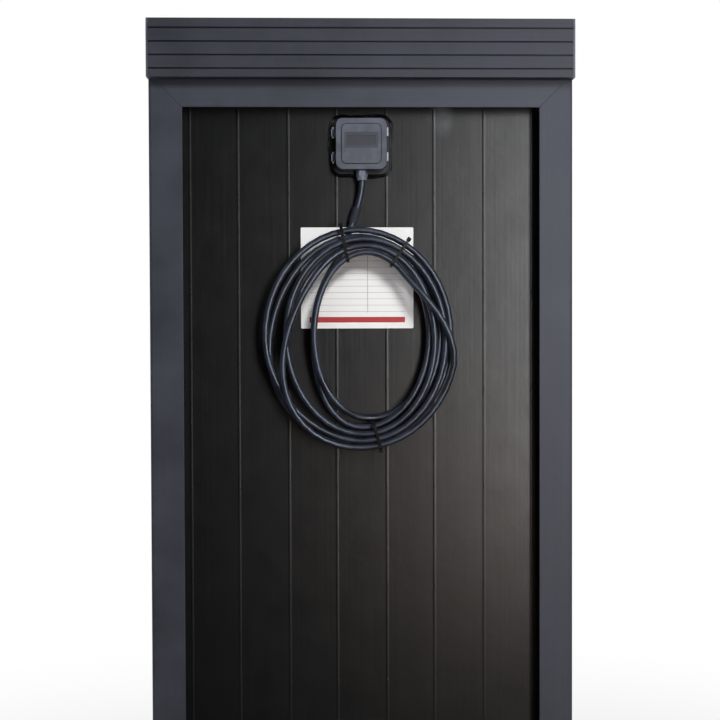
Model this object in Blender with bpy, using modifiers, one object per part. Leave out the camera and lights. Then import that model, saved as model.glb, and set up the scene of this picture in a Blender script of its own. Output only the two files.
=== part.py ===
"""Roof solar panel seen from its underside: mitred frame, spoilers, laminate, junction box and coiled lead.

Axes: +X across the panel, +Z along it towards the junction box, +Y towards the sun.
The plane y = 0 is the roof that the two spoilers are bonded to, and the origin is in the panel's middle.
"""

import math

import bmesh
import bpy
import numpy as np
from mathutils import Matrix, Vector

MM = 0.001
FIT = 0.3 * MM                      # clearance left between pieces that touch

# Frame
PANEL_WIDTH = 541 * MM
PANEL_LENGTH = 1195 * MM
FRAME_DEPTH = 35 * MM
ROOF_GAP = 15 * MM                  # the back flange stands this far off the roof
WALL = 1.8 * MM
FLANGE = 43 * MM
GLASS_LIP = 11 * MM
OUTER_ROUND = 4 * MM                # radius of the frame's outer back edge
EDGE_BREAK = 0.4 * MM
LEDGE = 13 * MM
CHAMBER_HEIGHT = 10 * MM
FRONT_Y = ROOF_GAP + FRAME_DEPTH
KEY_ARM = 45 * MM

# Laminate
EDGE_SEAL = 0.9 * MM
SEAL_WING = 8 * MM
GLASS = 3.2 * MM
ENCAPSULANT = 0.45 * MM
CELL = 0.3 * MM
RIBBON = 0.2 * MM
BACKSHEET = 0.35 * MM
RIDGE = 0.25 * MM                   # how far a ribbon lifts the backsheet
RIDGE_WIDTH = 3 * MM
CELL_SIDE = 125 * MM
CELL_ROUND = 75 * MM                # radius of the ingot that clips the cell's corners
CELL_PITCH = 127 * MM
RIBBON_OFFSET = 31 * MM             # two ribbons behind each cell
STRINGS = 4
CELLS_IN_STRING = 9
RIBBON_WIDTH = 2 * MM
BUS_WIDTH = 5 * MM

# Spoilers
SPOILER_REACH = 65.7 * MM           # out from the frame's end
SPOILER_LEDGE = 8.2 * MM            # in under the frame's flange
SPOILER_WALL = 2.2 * MM
SPOILER_NOSE = 3.4 * MM
NOSE_SET_BACK = 0.8 * MM            # the thin nose stays clear of the roof
GROOVES = (2.4 * MM, 19.3 * MM, 36.1 * MM, 53.1 * MM)
GROOVE_WIDTH = 2.2 * MM
GROOVE_DEPTH = 1.2 * MM
END_CAP = 2.5 * MM
SPOILER_LENGTH = PANEL_WIDTH - 2 * END_CAP - 2 * FIT
SCREW_RADIUS = 2 * MM
SCREW_HEAD_RADIUS = 3.2 * MM
SCREWS_PER_SPOILER = 3
SCREW_SPACING = 200 * MM

# Rating label
LABEL_WIDTH = 146 * MM
LABEL_HEIGHT = 131 * MM
LABEL = 0.25 * MM
LABEL_X = -5.5 * MM
LABEL_Z = 338.7 * MM

# Junction box, with heights measured from the backsheet
BOX_X = 0 * MM
BOX_Z = 509.2 * MM
FOOT_WIDTH = 74 * MM
FOOT_LENGTH = 73 * MM
BOX_WALL_SIDE = 60 * MM
BOX_WALL = 2 * MM
FOOT_HEIGHT = 2.4 * MM
BOX_STAND = 0.6 * MM                # silicone under the foot
RIM_HEIGHT = 16.2 * MM
GASKET = 1.5 * MM
LID_SIDE = 65 * MM
LID_TOP = 20.3 * MM
LID_WALL = 2 * MM
SKIRT_HEIGHT = 7 * MM
LID_PANEL = 50 * MM
LID_RISE = 0.8 * MM
LID_GROOVE = 1.2 * MM               # width of the groove round the panel
LID_GROOVE_DEPTH = 0.7 * MM
CLIP_OFFSET = 16 * MM               # hinges and latches above and below the lid's middle
HINGE_REACH = 3.6 * MM              # from the lid's side to the hinge axis
HINGE_PIN = 1.2 * MM
HINGE_EYE = 2.4 * MM
HINGE_SPAN = 14 * MM
HINGE_EAR = 2 * MM
LATCH_SPAN = 11 * MM
SLOT_UP = 20 * MM                   # ribbon slot above the box's middle
TERMINAL_PITCH = 14 * MM

# Cable
CABLE = 8 * MM
CABLE_END = 2 * MM                  # how far the sheath reaches inside the box
GLAND_X = 0.9 * MM                  # from the box's middle
GLAND_HEIGHT = 10.5 * MM
NUT_LENGTH = 13 * MM
NUT_RADIUS = 7.6 * MM
SPOUT_RADIUS = 5.6 * MM
SLEEVE_RADIUS = 5.6 * MM
CORE_RADIUS = 1.4 * MM

# Coil: an inner and an outer oval, with the turns spaced between them
COIL_INNER_X = 1.2 * MM
COIL_OUTER_X = -4.4 * MM
COIL_Z = 261.8 * MM
COIL_INNER = (78 * MM, 114 * MM)
COIL_OUTER = (122.2 * MM, 137.8 * MM)
COIL_FRONT_SHIFT = (3 * MM, -1.5 * MM)
COIL_START = math.radians(165)
TURNS_OUT = 2.79
TURNS_CLIMB = 0.5
TURNS_IN = 2.81
TURNS_TAIL = 0.34
TURNS_ACROSS = 2.79
TAIL_IN = -0.5                      # the tail leaves the front layer inside the coil
TAIL_OUT = 1.55                     # and ends behind it
POINTS_PER_TURN = 32
CLIMB_END = 3.09                    # in turns from the coil's start, as are the places below
FRONT_LANE = 2.05                   # the front layer starts in this lane
SETTLE = (3.03, 3.27)               # where the cable moves over into it
CROSS_LANES = 3                     # one strand crosses out over the layer, and back further on
CROSS_OUT = (4.90, 5.27)
CROSS_BACK = (5.49, 5.675)
HUMPS = ((4.84, 4.96, 5.14, 5.30), (5.455, 5.545, 5.60, 5.705))
HUMP = 9 * MM
BULGE = 0.62                        # a slack loop of the back layer, in lanes
BULGE_AT = 2.17
BULGE_REACH = 0.24
BACK_LAYER = 15.4 * MM
LAYER_STEP = 8.8 * MM
TAIL_LAYER = 4.9 * MM
TIE_ANGLES = {"cable_tie_top": 100, "cable_tie_side": 60, "cable_tie_bottom": -78}
TIE_THICKNESS = 1.2 * MM
TIE_WIDTH = 3.8 * MM

BACKWARD = Matrix.Rotation(math.pi / 2, 4, "X")     # local X, Y, Z become X, Z and -Y


def layer_places():
    """The y range of each laminate layer, from the glass down to the backsheet."""
    places = {}
    y = FRONT_Y - WALL - EDGE_SEAL - 2 * FIT
    layers = [
        ("glass", GLASS), ("front_film", ENCAPSULANT), ("cells", CELL), ("ribbons", RIBBON),
        ("outputs", RIBBON), ("rear_film", ENCAPSULANT), ("backsheet", BACKSHEET),
    ]
    for name, thickness in layers:
        places[name] = (y - thickness, y)
        y -= thickness + (0 if name == "cells" else FIT)
    return places


LAYERS = layer_places()
GLASS_Y = LAYERS["glass"][1]
SHEET_Y = LAYERS["backsheet"][0] - RIDGE            # rearmost skin of the laminate
LAMINATE_INSET = WALL + EDGE_SEAL + 2 * FIT
LEDGE_Y = LAYERS["backsheet"][0] - EDGE_SEAL - 2 * FIT - RIDGE
SCREW_Y = ROOF_GAP + WALL + (LEDGE_Y - 2 * WALL - CHAMBER_HEIGHT - ROOF_GAP - WALL) / 2


def clear_scene():
    for old in list(bpy.data.objects):
        bpy.data.objects.remove(old, do_unlink=True)


def new_collection(name, hidden=False):
    collection = bpy.data.collections.new(name)
    collection.hide_render = hidden
    bpy.context.scene.collection.children.link(collection)
    return collection


clear_scene()
PARTS = new_collection("solar_panel")
CUTTERS = new_collection("cutters", hidden=True)


def finish(name, colour, roughness, metallic=0.0):
    """A plain finish: colour, roughness and metallic value."""
    material = bpy.data.materials.get(name) or bpy.data.materials.new(name)
    material.use_nodes = True
    shader = material.node_tree.nodes["Principled BSDF"]
    linear = [((c / 255 + 0.055) / 1.055) ** 2.4 if c > 10 else c / 255 / 12.92 for c in colour]
    shader.inputs["Base Color"].default_value = (*linear, 1)
    shader.inputs["Roughness"].default_value = roughness
    shader.inputs["Metallic"].default_value = metallic
    return material


ANODISED = finish("anodised_aluminium", (70, 74, 84), 0.45, 0.6)
BARE_ALUMINIUM = finish("mill_aluminium", (170, 172, 176), 0.4, 1.0)
STEEL = finish("zinc_steel", (150, 152, 155), 0.35, 1.0)
TINNED = finish("tinned_copper", (190, 188, 180), 0.3, 1.0)
SILICON = finish("silicon_cell", (14, 16, 30), 0.25)
CLEAR = finish("low_iron_glass", (200, 215, 212), 0.05)
FILM = finish("encapsulant", (210, 214, 214), 0.3)
SHEET_BLACK = finish("black_backsheet", (30, 32, 34), 0.5)
MOULDED = finish("black_plastic", (62, 64, 72), 0.5)
RUBBER = finish("black_rubber", (20, 20, 21), 0.7)
SHEATH = finish("cable_sheath", (38, 41, 48), 0.45)
TIE_NYLON = finish("black_nylon", (22, 24, 28), 0.4)
PAPER = finish("white_label", (236, 237, 238), 0.5)
RED_CORE = finish("red_core", (150, 24, 22), 0.45)


def helper(obj):
    """Marks a shape that only cuts or joins."""
    for collection in list(obj.users_collection):
        collection.objects.unlink(obj)
    CUTTERS.objects.link(obj)
    obj.hide_render = True
    obj.display_type = "WIRE"
    return obj


def add(name, mesh, material=None, matrix=None, parent=None):
    obj = bpy.data.objects.new(name, mesh)
    PARTS.objects.link(obj)
    if material:
        mesh.materials.append(material)
    obj.parent = parent
    if matrix is not None:
        obj.matrix_local = matrix
    return obj


def box(name, low, high, material=None, parent=None):
    """A box between two corners."""
    low, high = Vector(low), Vector(high)
    shape = bmesh.new()
    bmesh.ops.create_cube(shape, size=1)
    bmesh.ops.scale(shape, vec=high - low, verts=shape.verts)
    mesh = bpy.data.meshes.new(name)
    shape.to_mesh(mesh)
    shape.free()
    return add(name, mesh, material, Matrix.Translation((low + high) / 2), parent)


def rod(name, radius, start, end, material=None, parent=None, sides=24, tip=None):
    """A round bar or cone between two points."""
    start, end = Vector(start), Vector(end)
    shape = bmesh.new()
    bmesh.ops.create_cone(
        shape, cap_ends=True, segments=sides, radius1=radius,
        radius2=radius if tip is None else tip, depth=(end - start).length,
    )
    mesh = bpy.data.meshes.new(name)
    shape.to_mesh(mesh)
    shape.free()
    mesh.shade_smooth()
    mesh.set_sharp_from_angle(angle=math.radians(35))
    turn = (end - start).to_track_quat("Z", "Y").to_matrix().to_4x4()
    return add(name, mesh, material, Matrix.Translation((start + end) / 2) @ turn, parent)


def as_mesh(curve_object, weld=1e-6):
    """A curve object's evaluated shape as a mesh, with its caps welded on."""
    bpy.context.view_layer.update()
    graph = bpy.context.evaluated_depsgraph_get()
    mesh = bpy.data.meshes.new_from_object(curve_object.evaluated_get(graph))
    shape = bmesh.new()
    shape.from_mesh(mesh)
    bmesh.ops.remove_doubles(shape, verts=shape.verts, dist=weld)
    bmesh.ops.recalc_face_normals(shape, faces=shape.faces)
    shape.to_mesh(mesh)
    shape.free()
    mesh.materials.clear()
    bpy.data.objects.remove(curve_object)
    return mesh


def slab(name, loops, low, high, material=None, parent=None, matrix=None):
    """Closed outlines in local X and Y, the later ones holes, drawn out from low to high along Z.

    The curve is drawn in millimetres, since its fill drops steps as small as these in metres.
    """
    curve = bpy.data.curves.new(name, "CURVE")
    curve.dimensions = "2D"
    curve.fill_mode = "BOTH"
    curve.extrude = (high - low) / 2 / MM
    for loop in loops:
        spline = curve.splines.new("POLY")
        spline.points.add(len(loop) - 1)
        spline.use_cyclic_u = True
        for point, (x, y) in zip(spline.points, loop):
            point.co = (x / MM, y / MM, 0, 1)
    holder = bpy.data.objects.new(name, curve)
    PARTS.objects.link(holder)
    mesh = as_mesh(holder, weld=1e-3)
    mesh.name = name
    mesh.transform(Matrix.Translation((0, 0, (low + high) / 2)) @ Matrix.Scale(MM, 4))
    return add(name, mesh, material, matrix, parent)


def round_rect(width, height, radius, steps=5, centre=(0, 0)):
    """A rectangle with rounded corners, counter-clockwise."""
    points = []
    for corner, (sx, sy) in enumerate([(1, 1), (-1, 1), (-1, -1), (1, -1)]):
        for step in range(steps + 1):
            angle = math.pi / 2 * (corner + step / steps)
            points.append((
                centre[0] + sx * (width / 2 - radius) + radius * math.cos(angle),
                centre[1] + sy * (height / 2 - radius) + radius * math.sin(angle),
            ))
    return points


def rect(low_x, low_y, high_x, high_y):
    return [(low_x, low_y), (high_x, low_y), (high_x, high_y), (low_x, high_y)]


def boolean(obj, other, operation):
    modifier = obj.modifiers.new(operation.lower(), "BOOLEAN")
    modifier.operation = operation
    modifier.object = helper(other)
    return obj


def cut(obj, *others):
    for other in others:
        boolean(obj, other, "DIFFERENCE")
    return obj


def join(obj, *others):
    for other in others:
        boolean(obj, other, "UNION")
    return obj


def tube(name, points, radius, material, sides=2):
    """A round cable along points, with filled ends."""
    curve = bpy.data.curves.new(name, "CURVE")
    curve.dimensions = "3D"
    curve.bevel_depth = radius
    curve.bevel_resolution = sides
    curve.use_fill_caps = True
    spline = curve.splines.new("POLY")
    spline.points.add(len(points) - 1)
    for target, point in zip(spline.points, points):
        target.co = (*point, 1)
    curve.materials.append(material)
    obj = bpy.data.objects.new(name, curve)
    PARTS.objects.link(obj)
    return obj


def smooth_through(points, steps):
    """A Catmull-Rom curve through points, whose first and last only steer it."""
    found = []
    for a, b, c, d in zip(points, points[1:], points[2:], points[3:]):
        for step in range(steps):
            t = step / steps
            found.append(0.5 * (2 * b + (c - a) * t + (2 * a - 5 * b + 4 * c - d) * t ** 2
                                + (3 * b - a - 3 * c + d) * t ** 3))
    return found + [points[-2]]


def ease(t):
    """A smooth rise from 0 to 1."""
    t = min(max(t, 0), 1)
    return t * t * (3 - 2 * t)


# Frame rails and corner keys

def rail_profile():
    """The extrusion's section: distance in from the outer face, then y. The chamber is its hole."""
    chamber_low = LEDGE_Y - WALL - CHAMBER_HEIGHT
    outside = []
    for step in range(5):
        angle = math.pi / 2 * step / 4
        outside.append((OUTER_ROUND * (1 - math.cos(angle)), ROOF_GAP + OUTER_ROUND * (1 - math.sin(angle))))
    outside += [
        (FLANGE - EDGE_BREAK, ROOF_GAP), (FLANGE, ROOF_GAP + EDGE_BREAK), (FLANGE, ROOF_GAP + WALL),
        (WALL, ROOF_GAP + WALL), (WALL, chamber_low - WALL), (LEDGE, chamber_low - WALL), (LEDGE, LEDGE_Y),
        (WALL, LEDGE_Y), (WALL, FRONT_Y - WALL), (GLASS_LIP, FRONT_Y - WALL),
        (GLASS_LIP, FRONT_Y - EDGE_BREAK), (GLASS_LIP - EDGE_BREAK, FRONT_Y),
        (2 * EDGE_BREAK, FRONT_Y), (0, FRONT_Y - 2 * EDGE_BREAK),
    ]
    chamber = rect(WALL, chamber_low, LEDGE - WALL, LEDGE_Y - WALL)
    return [outside, chamber]


def frame_rail(name, length, turn, offset):
    """One rail, with both ends mitred, turned about Y into its side of the frame."""
    rail = slab(name, rail_profile(), -length / 2, length / 2, ANODISED)
    for vertex in rail.data.vertices:
        end = math.copysign(1, vertex.co.z)
        vertex.co.z = end * (length / 2 - vertex.co.x - FIT / 2)
    rail.matrix_world = Matrix.Translation(offset) @ Matrix.Rotation(turn, 4, "Y")
    return rail


def frame():
    half_x, half_z = PANEL_WIDTH / 2, PANEL_LENGTH / 2
    quarter = math.pi / 2
    rails = {
        "left": frame_rail("frame_rail_left", PANEL_LENGTH, 0, (-half_x, 0, 0)),
        "right": frame_rail("frame_rail_right", PANEL_LENGTH, math.pi, (half_x, 0, 0)),
        "top": frame_rail("frame_rail_top", PANEL_WIDTH, quarter, (0, 0, half_z)),
        "bottom": frame_rail("frame_rail_bottom", PANEL_WIDTH, -quarter, (0, 0, -half_z)),
    }
    return rails


def corner_keys():
    """L-shaped keys that hold each mitre, in the rails' hollow chambers."""
    low = WALL + FIT
    high = LEDGE - WALL - FIT
    outline = [(low, low), (KEY_ARM, low), (KEY_ARM, high), (high, high), (high, KEY_ARM), (low, KEY_ARM)]
    bottom = LEDGE_Y - WALL - CHAMBER_HEIGHT + FIT
    top = LEDGE_Y - WALL - FIT
    for side, sx in (("left", 1), ("right", -1)):
        for end, sz in (("top", -1), ("bottom", 1)):
            points = [(sx * (x - PANEL_WIDTH / 2), sz * (z - PANEL_LENGTH / 2)) for x, z in outline]
            key = slab(f"corner_key_{end}_{side}", [points], -top, -bottom, BARE_ALUMINIUM)
            key.matrix_world = BACKWARD


# Spoilers

def spoiler_top(v):
    """Height of the spoiler's curved outer skin at distance v from the frame's end."""
    rise = math.cos(math.pi / 2 * v / SPOILER_REACH) ** 0.8 if v < SPOILER_REACH else 0
    return SPOILER_NOSE + (FRONT_Y - SPOILER_NOSE) * rise


def skin_points(start, end, steps, inset=0.0):
    """Points of the curved skin, from start to end, moved in by inset."""
    places = [start + (end - start) * i / steps for i in range(steps + 1)]
    return [(v, spoiler_top(v) - inset) for v in places]


def spoiler_profile():
    """Section of the spoiler: distance out from the frame's end, then y, with a hollow between its walls."""
    base = [(-SPOILER_LEDGE, 0)]
    half = GROOVE_WIDTH / 2
    for v in GROOVES:
        beyond = NOSE_SET_BACK if v == GROOVES[-1] else 0
        base += [(v - half, 0), (v - half * 0.6, GROOVE_DEPTH)]
        base += [(v + half * 0.6, GROOVE_DEPTH), (v + half, beyond)]
    base.append((SPOILER_REACH, NOSE_SET_BACK))
    under_flange = ROOF_GAP - FIT
    ledge = [(FIT, under_flange), (-SPOILER_LEDGE, under_flange)]
    outside = base + skin_points(SPOILER_REACH, FIT, 14) + ledge
    floor = SPOILER_WALL + GROOVE_DEPTH
    near, far = FIT + SPOILER_WALL, GROOVES[-1] - 4 * MM
    shelf = under_flange - SPOILER_WALL
    ledge_wall = SPOILER_WALL - SPOILER_LEDGE
    hollow = [(ledge_wall, floor), (far, floor)]
    hollow += skin_points(far, near, 10, 1.5 * SPOILER_WALL)
    hollow += [(near, shelf), (ledge_wall, shelf)]
    return [outside, hollow]


def cap_profile():
    """Outline of a spoiler's end cap: the section without its grooves and hollow."""
    under_flange = ROOF_GAP - FIT
    base = [(-SPOILER_LEDGE, 0), (GROOVES[-1], 0), (SPOILER_REACH, NOSE_SET_BACK)]
    return base + skin_points(SPOILER_REACH, FIT, 14) + [(FIT, under_flange), (-SPOILER_LEDGE, under_flange)]


def spoilers(rails):
    """A hollow spoiler on each end of the frame, its end caps, and the screws through the frame's wall."""
    quarter = math.pi / 2
    for end, sz in (("top", 1), ("bottom", -1)):
        place = Matrix.Translation((0, 0, sz * PANEL_LENGTH / 2)) @ Matrix.Rotation(-sz * quarter, 4, "Y")
        half = SPOILER_LENGTH / 2
        body = slab(f"spoiler_{end}", spoiler_profile(), -half, half, ANODISED, matrix=place)
        for side, sx in (("left", -1), ("right", 1)):
            # along the spoiler, local Z runs towards -X on the top one and +X on the bottom one
            near = -sx * sz * (half + FIT)
            far = -sx * sz * (half + FIT + END_CAP)
            slab(f"spoiler_cap_{end}_{side}", [cap_profile()], min(near, far), max(near, far),
                 MOULDED, matrix=place)
        for index in range(SCREWS_PER_SPOILER):
            x = (index - (SCREWS_PER_SPOILER - 1) / 2) * SCREW_SPACING
            spoiler_screw(f"spoiler_screw_{end}_{index + 1}", x, sz, rails[end], body)


def spoiler_screw(name, x, sz, rail, spoiler):
    """A pan-head screw from inside the frame's channel into the spoiler's wall."""
    end = PANEL_LENGTH / 2
    inside = end - WALL - FIT

    def at(z):
        return (x, SCREW_Y, sz * z)

    head = rod(name, SCREW_HEAD_RADIUS, at(inside - 2.4 * MM), at(inside), STEEL, sides=12)
    shank = rod(name + "_shank", SCREW_RADIUS, at(inside - 1 * MM), at(end + 9 * MM), sides=12)
    join(head, shank)
    reach = rod(name + "_hole", SCREW_RADIUS + FIT, at(inside - 1 * MM), at(end + 12 * MM), sides=12)
    cut(rail, reach)
    cut(spoiler, reach)


# Laminate

def sheet_outline(inset):
    return rect(inset - PANEL_WIDTH / 2, inset - PANEL_LENGTH / 2,
                PANEL_WIDTH / 2 - inset, PANEL_LENGTH / 2 - inset)


def facing_back(name, loops, y_range, material):
    """A flat sheet between two y planes, from outlines in X and Z."""
    sheet = slab(name, loops, -y_range[1], -y_range[0], material)
    sheet.matrix_world = BACKWARD
    return sheet


def ribbon_slot():
    """The opening where the ribbons come through into the junction box."""
    half_x, half_z = 24 * MM, 3 * MM
    z = BOX_Z + SLOT_UP
    return rect(BOX_X - half_x, z - half_z, BOX_X + half_x, z + half_z)


def cell_outline(x, z):
    """A square cell whose corners are clipped by its round ingot."""
    half = CELL_SIDE / 2
    start = math.acos(half / CELL_ROUND)
    points = []
    for corner in range(4):
        for step in range(3):
            angle = math.pi / 2 * corner + start + (math.pi / 2 - 2 * start) * step / 2
            points.append((x + CELL_ROUND * math.cos(angle), z + CELL_ROUND * math.sin(angle)))
    return points


def string_x(index):
    return (index - (STRINGS - 1) / 2) * CELL_PITCH


def ribbon_xs():
    """Where the ribbons run: two behind each string."""
    return [string_x(i) + side * RIBBON_OFFSET for i in range(STRINGS) for side in (-1, 1)]


STRING_END = CELLS_IN_STRING * CELL_PITCH / 2
BUS_Z = STRING_END + 4 * MM
OUTPUT_Z = STRING_END + 11 * MM


def cell_string(index):
    """Nine cells in a row, soldered to the two ribbons behind them."""
    x = string_x(index)
    name = f"cell_string_{index + 1}"
    outer = index in (0, STRINGS - 1)
    low, high = LAYERS["ribbons"]
    string = None
    for cell in range(CELLS_IN_STRING):
        z = (cell - (CELLS_IN_STRING - 1) / 2) * CELL_PITCH
        piece = facing_back(f"{name}_cell_{cell}" if string else name, [cell_outline(x, z)],
                            LAYERS["cells"], SILICON)
        if string:
            join(string, piece)
        else:
            string = piece
    top = OUTPUT_Z - BUS_WIDTH / 2 if outer else BUS_Z - BUS_WIDTH / 2
    for side in (-1, 1):
        ribbon_x = x + side * RIBBON_OFFSET
        join(string, box(
            f"{name}_ribbon_{side}",
            (ribbon_x - RIBBON_WIDTH / 2, low, FIT + BUS_WIDTH / 2 - BUS_Z),
            (ribbon_x + RIBBON_WIDTH / 2, high + CELL / 2, top - FIT),
        ))


def upstand(name, x, layer, bus):
    """The end of a ribbon turned up through the slot into the junction box."""
    z = BOX_Z + SLOT_UP
    tail = box(name + "_tail", (x - BUS_WIDTH / 2, LAYERS[layer][0], z - 1 * MM),
               (x + BUS_WIDTH / 2, LAYERS[layer][1], BUS_Z))
    lift = box(name + "_lift", (x - BUS_WIDTH / 2, SHEET_Y - 6.2 * MM, z - 1 * MM),
               (x + BUS_WIDTH / 2, LAYERS[layer][1], z - 1 * MM + RIBBON))
    return join(bus, tail, lift)


def bus_ribbons():
    """Ribbons across the strings' ends, and the three that lead into the junction box."""
    xs = ribbon_xs()
    low, high = LAYERS["ribbons"]
    edge = RIBBON_WIDTH
    for name, first, last in (("bus_ribbon_bottom_left", 0, 3), ("bus_ribbon_bottom_right", 4, 7)):
        box(name, (xs[first] - edge, low, -BUS_Z - BUS_WIDTH / 2),
            (xs[last] + edge, high, -BUS_Z + BUS_WIDTH / 2), TINNED)
    centre = box("bus_ribbon_top", (xs[2] - edge, low, BUS_Z - BUS_WIDTH / 2),
                 (xs[5] + edge, high, BUS_Z + BUS_WIDTH / 2), TINNED)
    upstand("bus_ribbon_top", BOX_X, "ribbons", centre)
    low, high = LAYERS["outputs"]
    ends = (("output_ribbon_minus", -1, xs[0] - edge), ("output_ribbon_plus", 1, xs[7] + edge))
    for name, sx, outer in ends:
        x = BOX_X + sx * TERMINAL_PITCH
        inner = x - sx * BUS_WIDTH / 2
        across = box(name, (min(outer, inner), low, OUTPUT_Z - BUS_WIDTH / 2),
                     (max(outer, inner), high, OUTPUT_Z + BUS_WIDTH / 2), TINNED)
        drop = box(name + "_drop", (x - BUS_WIDTH / 2, low, BUS_Z - 1 * MM),
                   (x + BUS_WIDTH / 2, high, OUTPUT_Z))
        upstand(name, x, "outputs", join(across, drop))


def backsheet():
    """The rear skin, lifted into a low ridge over each ribbon, with the slot under the junction box."""
    low, high = LAYERS["backsheet"]
    sheet = facing_back("backsheet", [sheet_outline(LAMINATE_INSET), ribbon_slot()], (low, high), SHEET_BLACK)
    half = RIDGE_WIDTH / 2
    inside = low + BACKSHEET / 2
    for x in ribbon_xs():
        crest = [(x - half / 3, low - RIDGE), (x + half / 3, low - RIDGE)]
        section = [(x - half, inside), *crest, (x + half, inside)]
        join(sheet, slab("backsheet_ridge", [section], -STRING_END, STRING_END))


def laminate():
    facing_back("front_glass", [sheet_outline(LAMINATE_INSET)], LAYERS["glass"], CLEAR)
    facing_back("front_encapsulant", [sheet_outline(LAMINATE_INSET)], LAYERS["front_film"], FILM)
    facing_back("rear_encapsulant", [sheet_outline(LAMINATE_INSET), ribbon_slot()], LAYERS["rear_film"], FILM)
    backsheet()
    for index in range(STRINGS):
        cell_string(index)
    bus_ribbons()


def edge_seal():
    """A U-shaped strip round the laminate's edge, in the frame's slot."""
    outer = sheet_outline(WALL + FIT)
    window = sheet_outline(WALL + FIT + SEAL_WING)
    seal = facing_back("edge_seal", [outer, window], (LEDGE_Y + FIT, FRONT_Y - WALL - FIT), RUBBER)
    pocket = [sheet_outline(LAMINATE_INSET - FIT)]
    cut(seal, facing_back("edge_seal_pocket", pocket, (SHEET_Y - FIT, GLASS_Y + FIT), None))


def rating_label():
    """A bare white label stuck on the backsheet."""
    outline = round_rect(LABEL_WIDTH, LABEL_HEIGHT, 1.5 * MM, 2, (LABEL_X, LABEL_Z))
    facing_back("rating_label", [outline], (SHEET_Y - FIT - LABEL, SHEET_Y - FIT), PAPER)


# Junction box. Its pieces are modelled face up: X across, Y up the panel, Z out of the backsheet.

def box_empty():
    origin = bpy.data.objects.new("junction_box_origin", None)
    PARTS.objects.link(origin)
    origin.matrix_world = Matrix.Translation((BOX_X, SHEET_Y, BOX_Z)) @ BACKWARD
    return origin


def junction_base(origin):
    """The tray: foot, walls, hinge brackets, latch nibs and the threaded spout for the cable."""
    foot = slab("junction_box_base", [round_rect(FOOT_WIDTH, FOOT_LENGTH, 12 * MM, 5)],
                BOX_STAND, FOOT_HEIGHT, MOULDED, origin)
    inner = BOX_WALL_SIDE - 2 * BOX_WALL
    walls = slab("base_walls", [round_rect(BOX_WALL_SIDE, BOX_WALL_SIDE, 8 * MM),
                                round_rect(inner, inner, 6 * MM)],
                 FOOT_HEIGHT - 1 * MM, RIM_HEIGHT, None, origin)
    join(foot, walls)
    hinge_x = -LID_SIDE / 2 - HINGE_REACH
    for side in (-1, 1):
        middle = side * CLIP_OFFSET
        for ear in (-1, 1):
            y = middle + ear * (HINGE_SPAN - HINGE_EAR) / 2
            join(foot, box("hinge_ear", (hinge_x - HINGE_PIN, y - HINGE_EAR / 2, FOOT_HEIGHT - 0.4 * MM),
                           (hinge_x + HINGE_PIN, y + HINGE_EAR / 2, SKIRT_HEIGHT + HINGE_PIN), None, origin))
        ends = (HINGE_SPAN - HINGE_EAR) / 2
        join(foot, rod("hinge_pin", HINGE_PIN, (hinge_x, middle - ends, SKIRT_HEIGHT),
                       (hinge_x, middle + ends, SKIRT_HEIGHT), None, origin, 12))
        nib_x = BOX_WALL_SIDE / 2
        join(foot, box("latch_nib", (nib_x - 1 * MM, middle - 2.5 * MM, FOOT_HEIGHT + 1 * MM),
                       (nib_x + 1 * MM, middle + 2.5 * MM, FOOT_HEIGHT + 3 * MM), None, origin))
    bottom = -BOX_WALL_SIDE / 2
    join(foot, rod("gland_spout", SPOUT_RADIUS, (GLAND_X, bottom + BOX_WALL / 2, GLAND_HEIGHT),
                   (GLAND_X, -LID_SIDE / 2 - 7 * MM, GLAND_HEIGHT), None, origin))
    bore = rod("gland_bore", CABLE / 2 + FIT, (GLAND_X, bottom + 2 * BOX_WALL, GLAND_HEIGHT),
               (GLAND_X, bottom - 20 * MM, GLAND_HEIGHT), None, origin)
    slot = slab("base_slot", [rect(-24 * MM, SLOT_UP - 3 * MM, 24 * MM, SLOT_UP + 3 * MM)],
                BOX_STAND - 1 * MM, FOOT_HEIGHT + 1 * MM, None, origin)
    cut(foot, bore, slot)


def junction_gasket(origin):
    side = BOX_WALL_SIDE
    slab("lid_gasket", [round_rect(side, side, 8 * MM),
                        round_rect(side - 2 * BOX_WALL, side - 2 * BOX_WALL, 6 * MM)],
         RIM_HEIGHT + FIT, RIM_HEIGHT + FIT + GASKET, RUBBER, origin)


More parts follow.
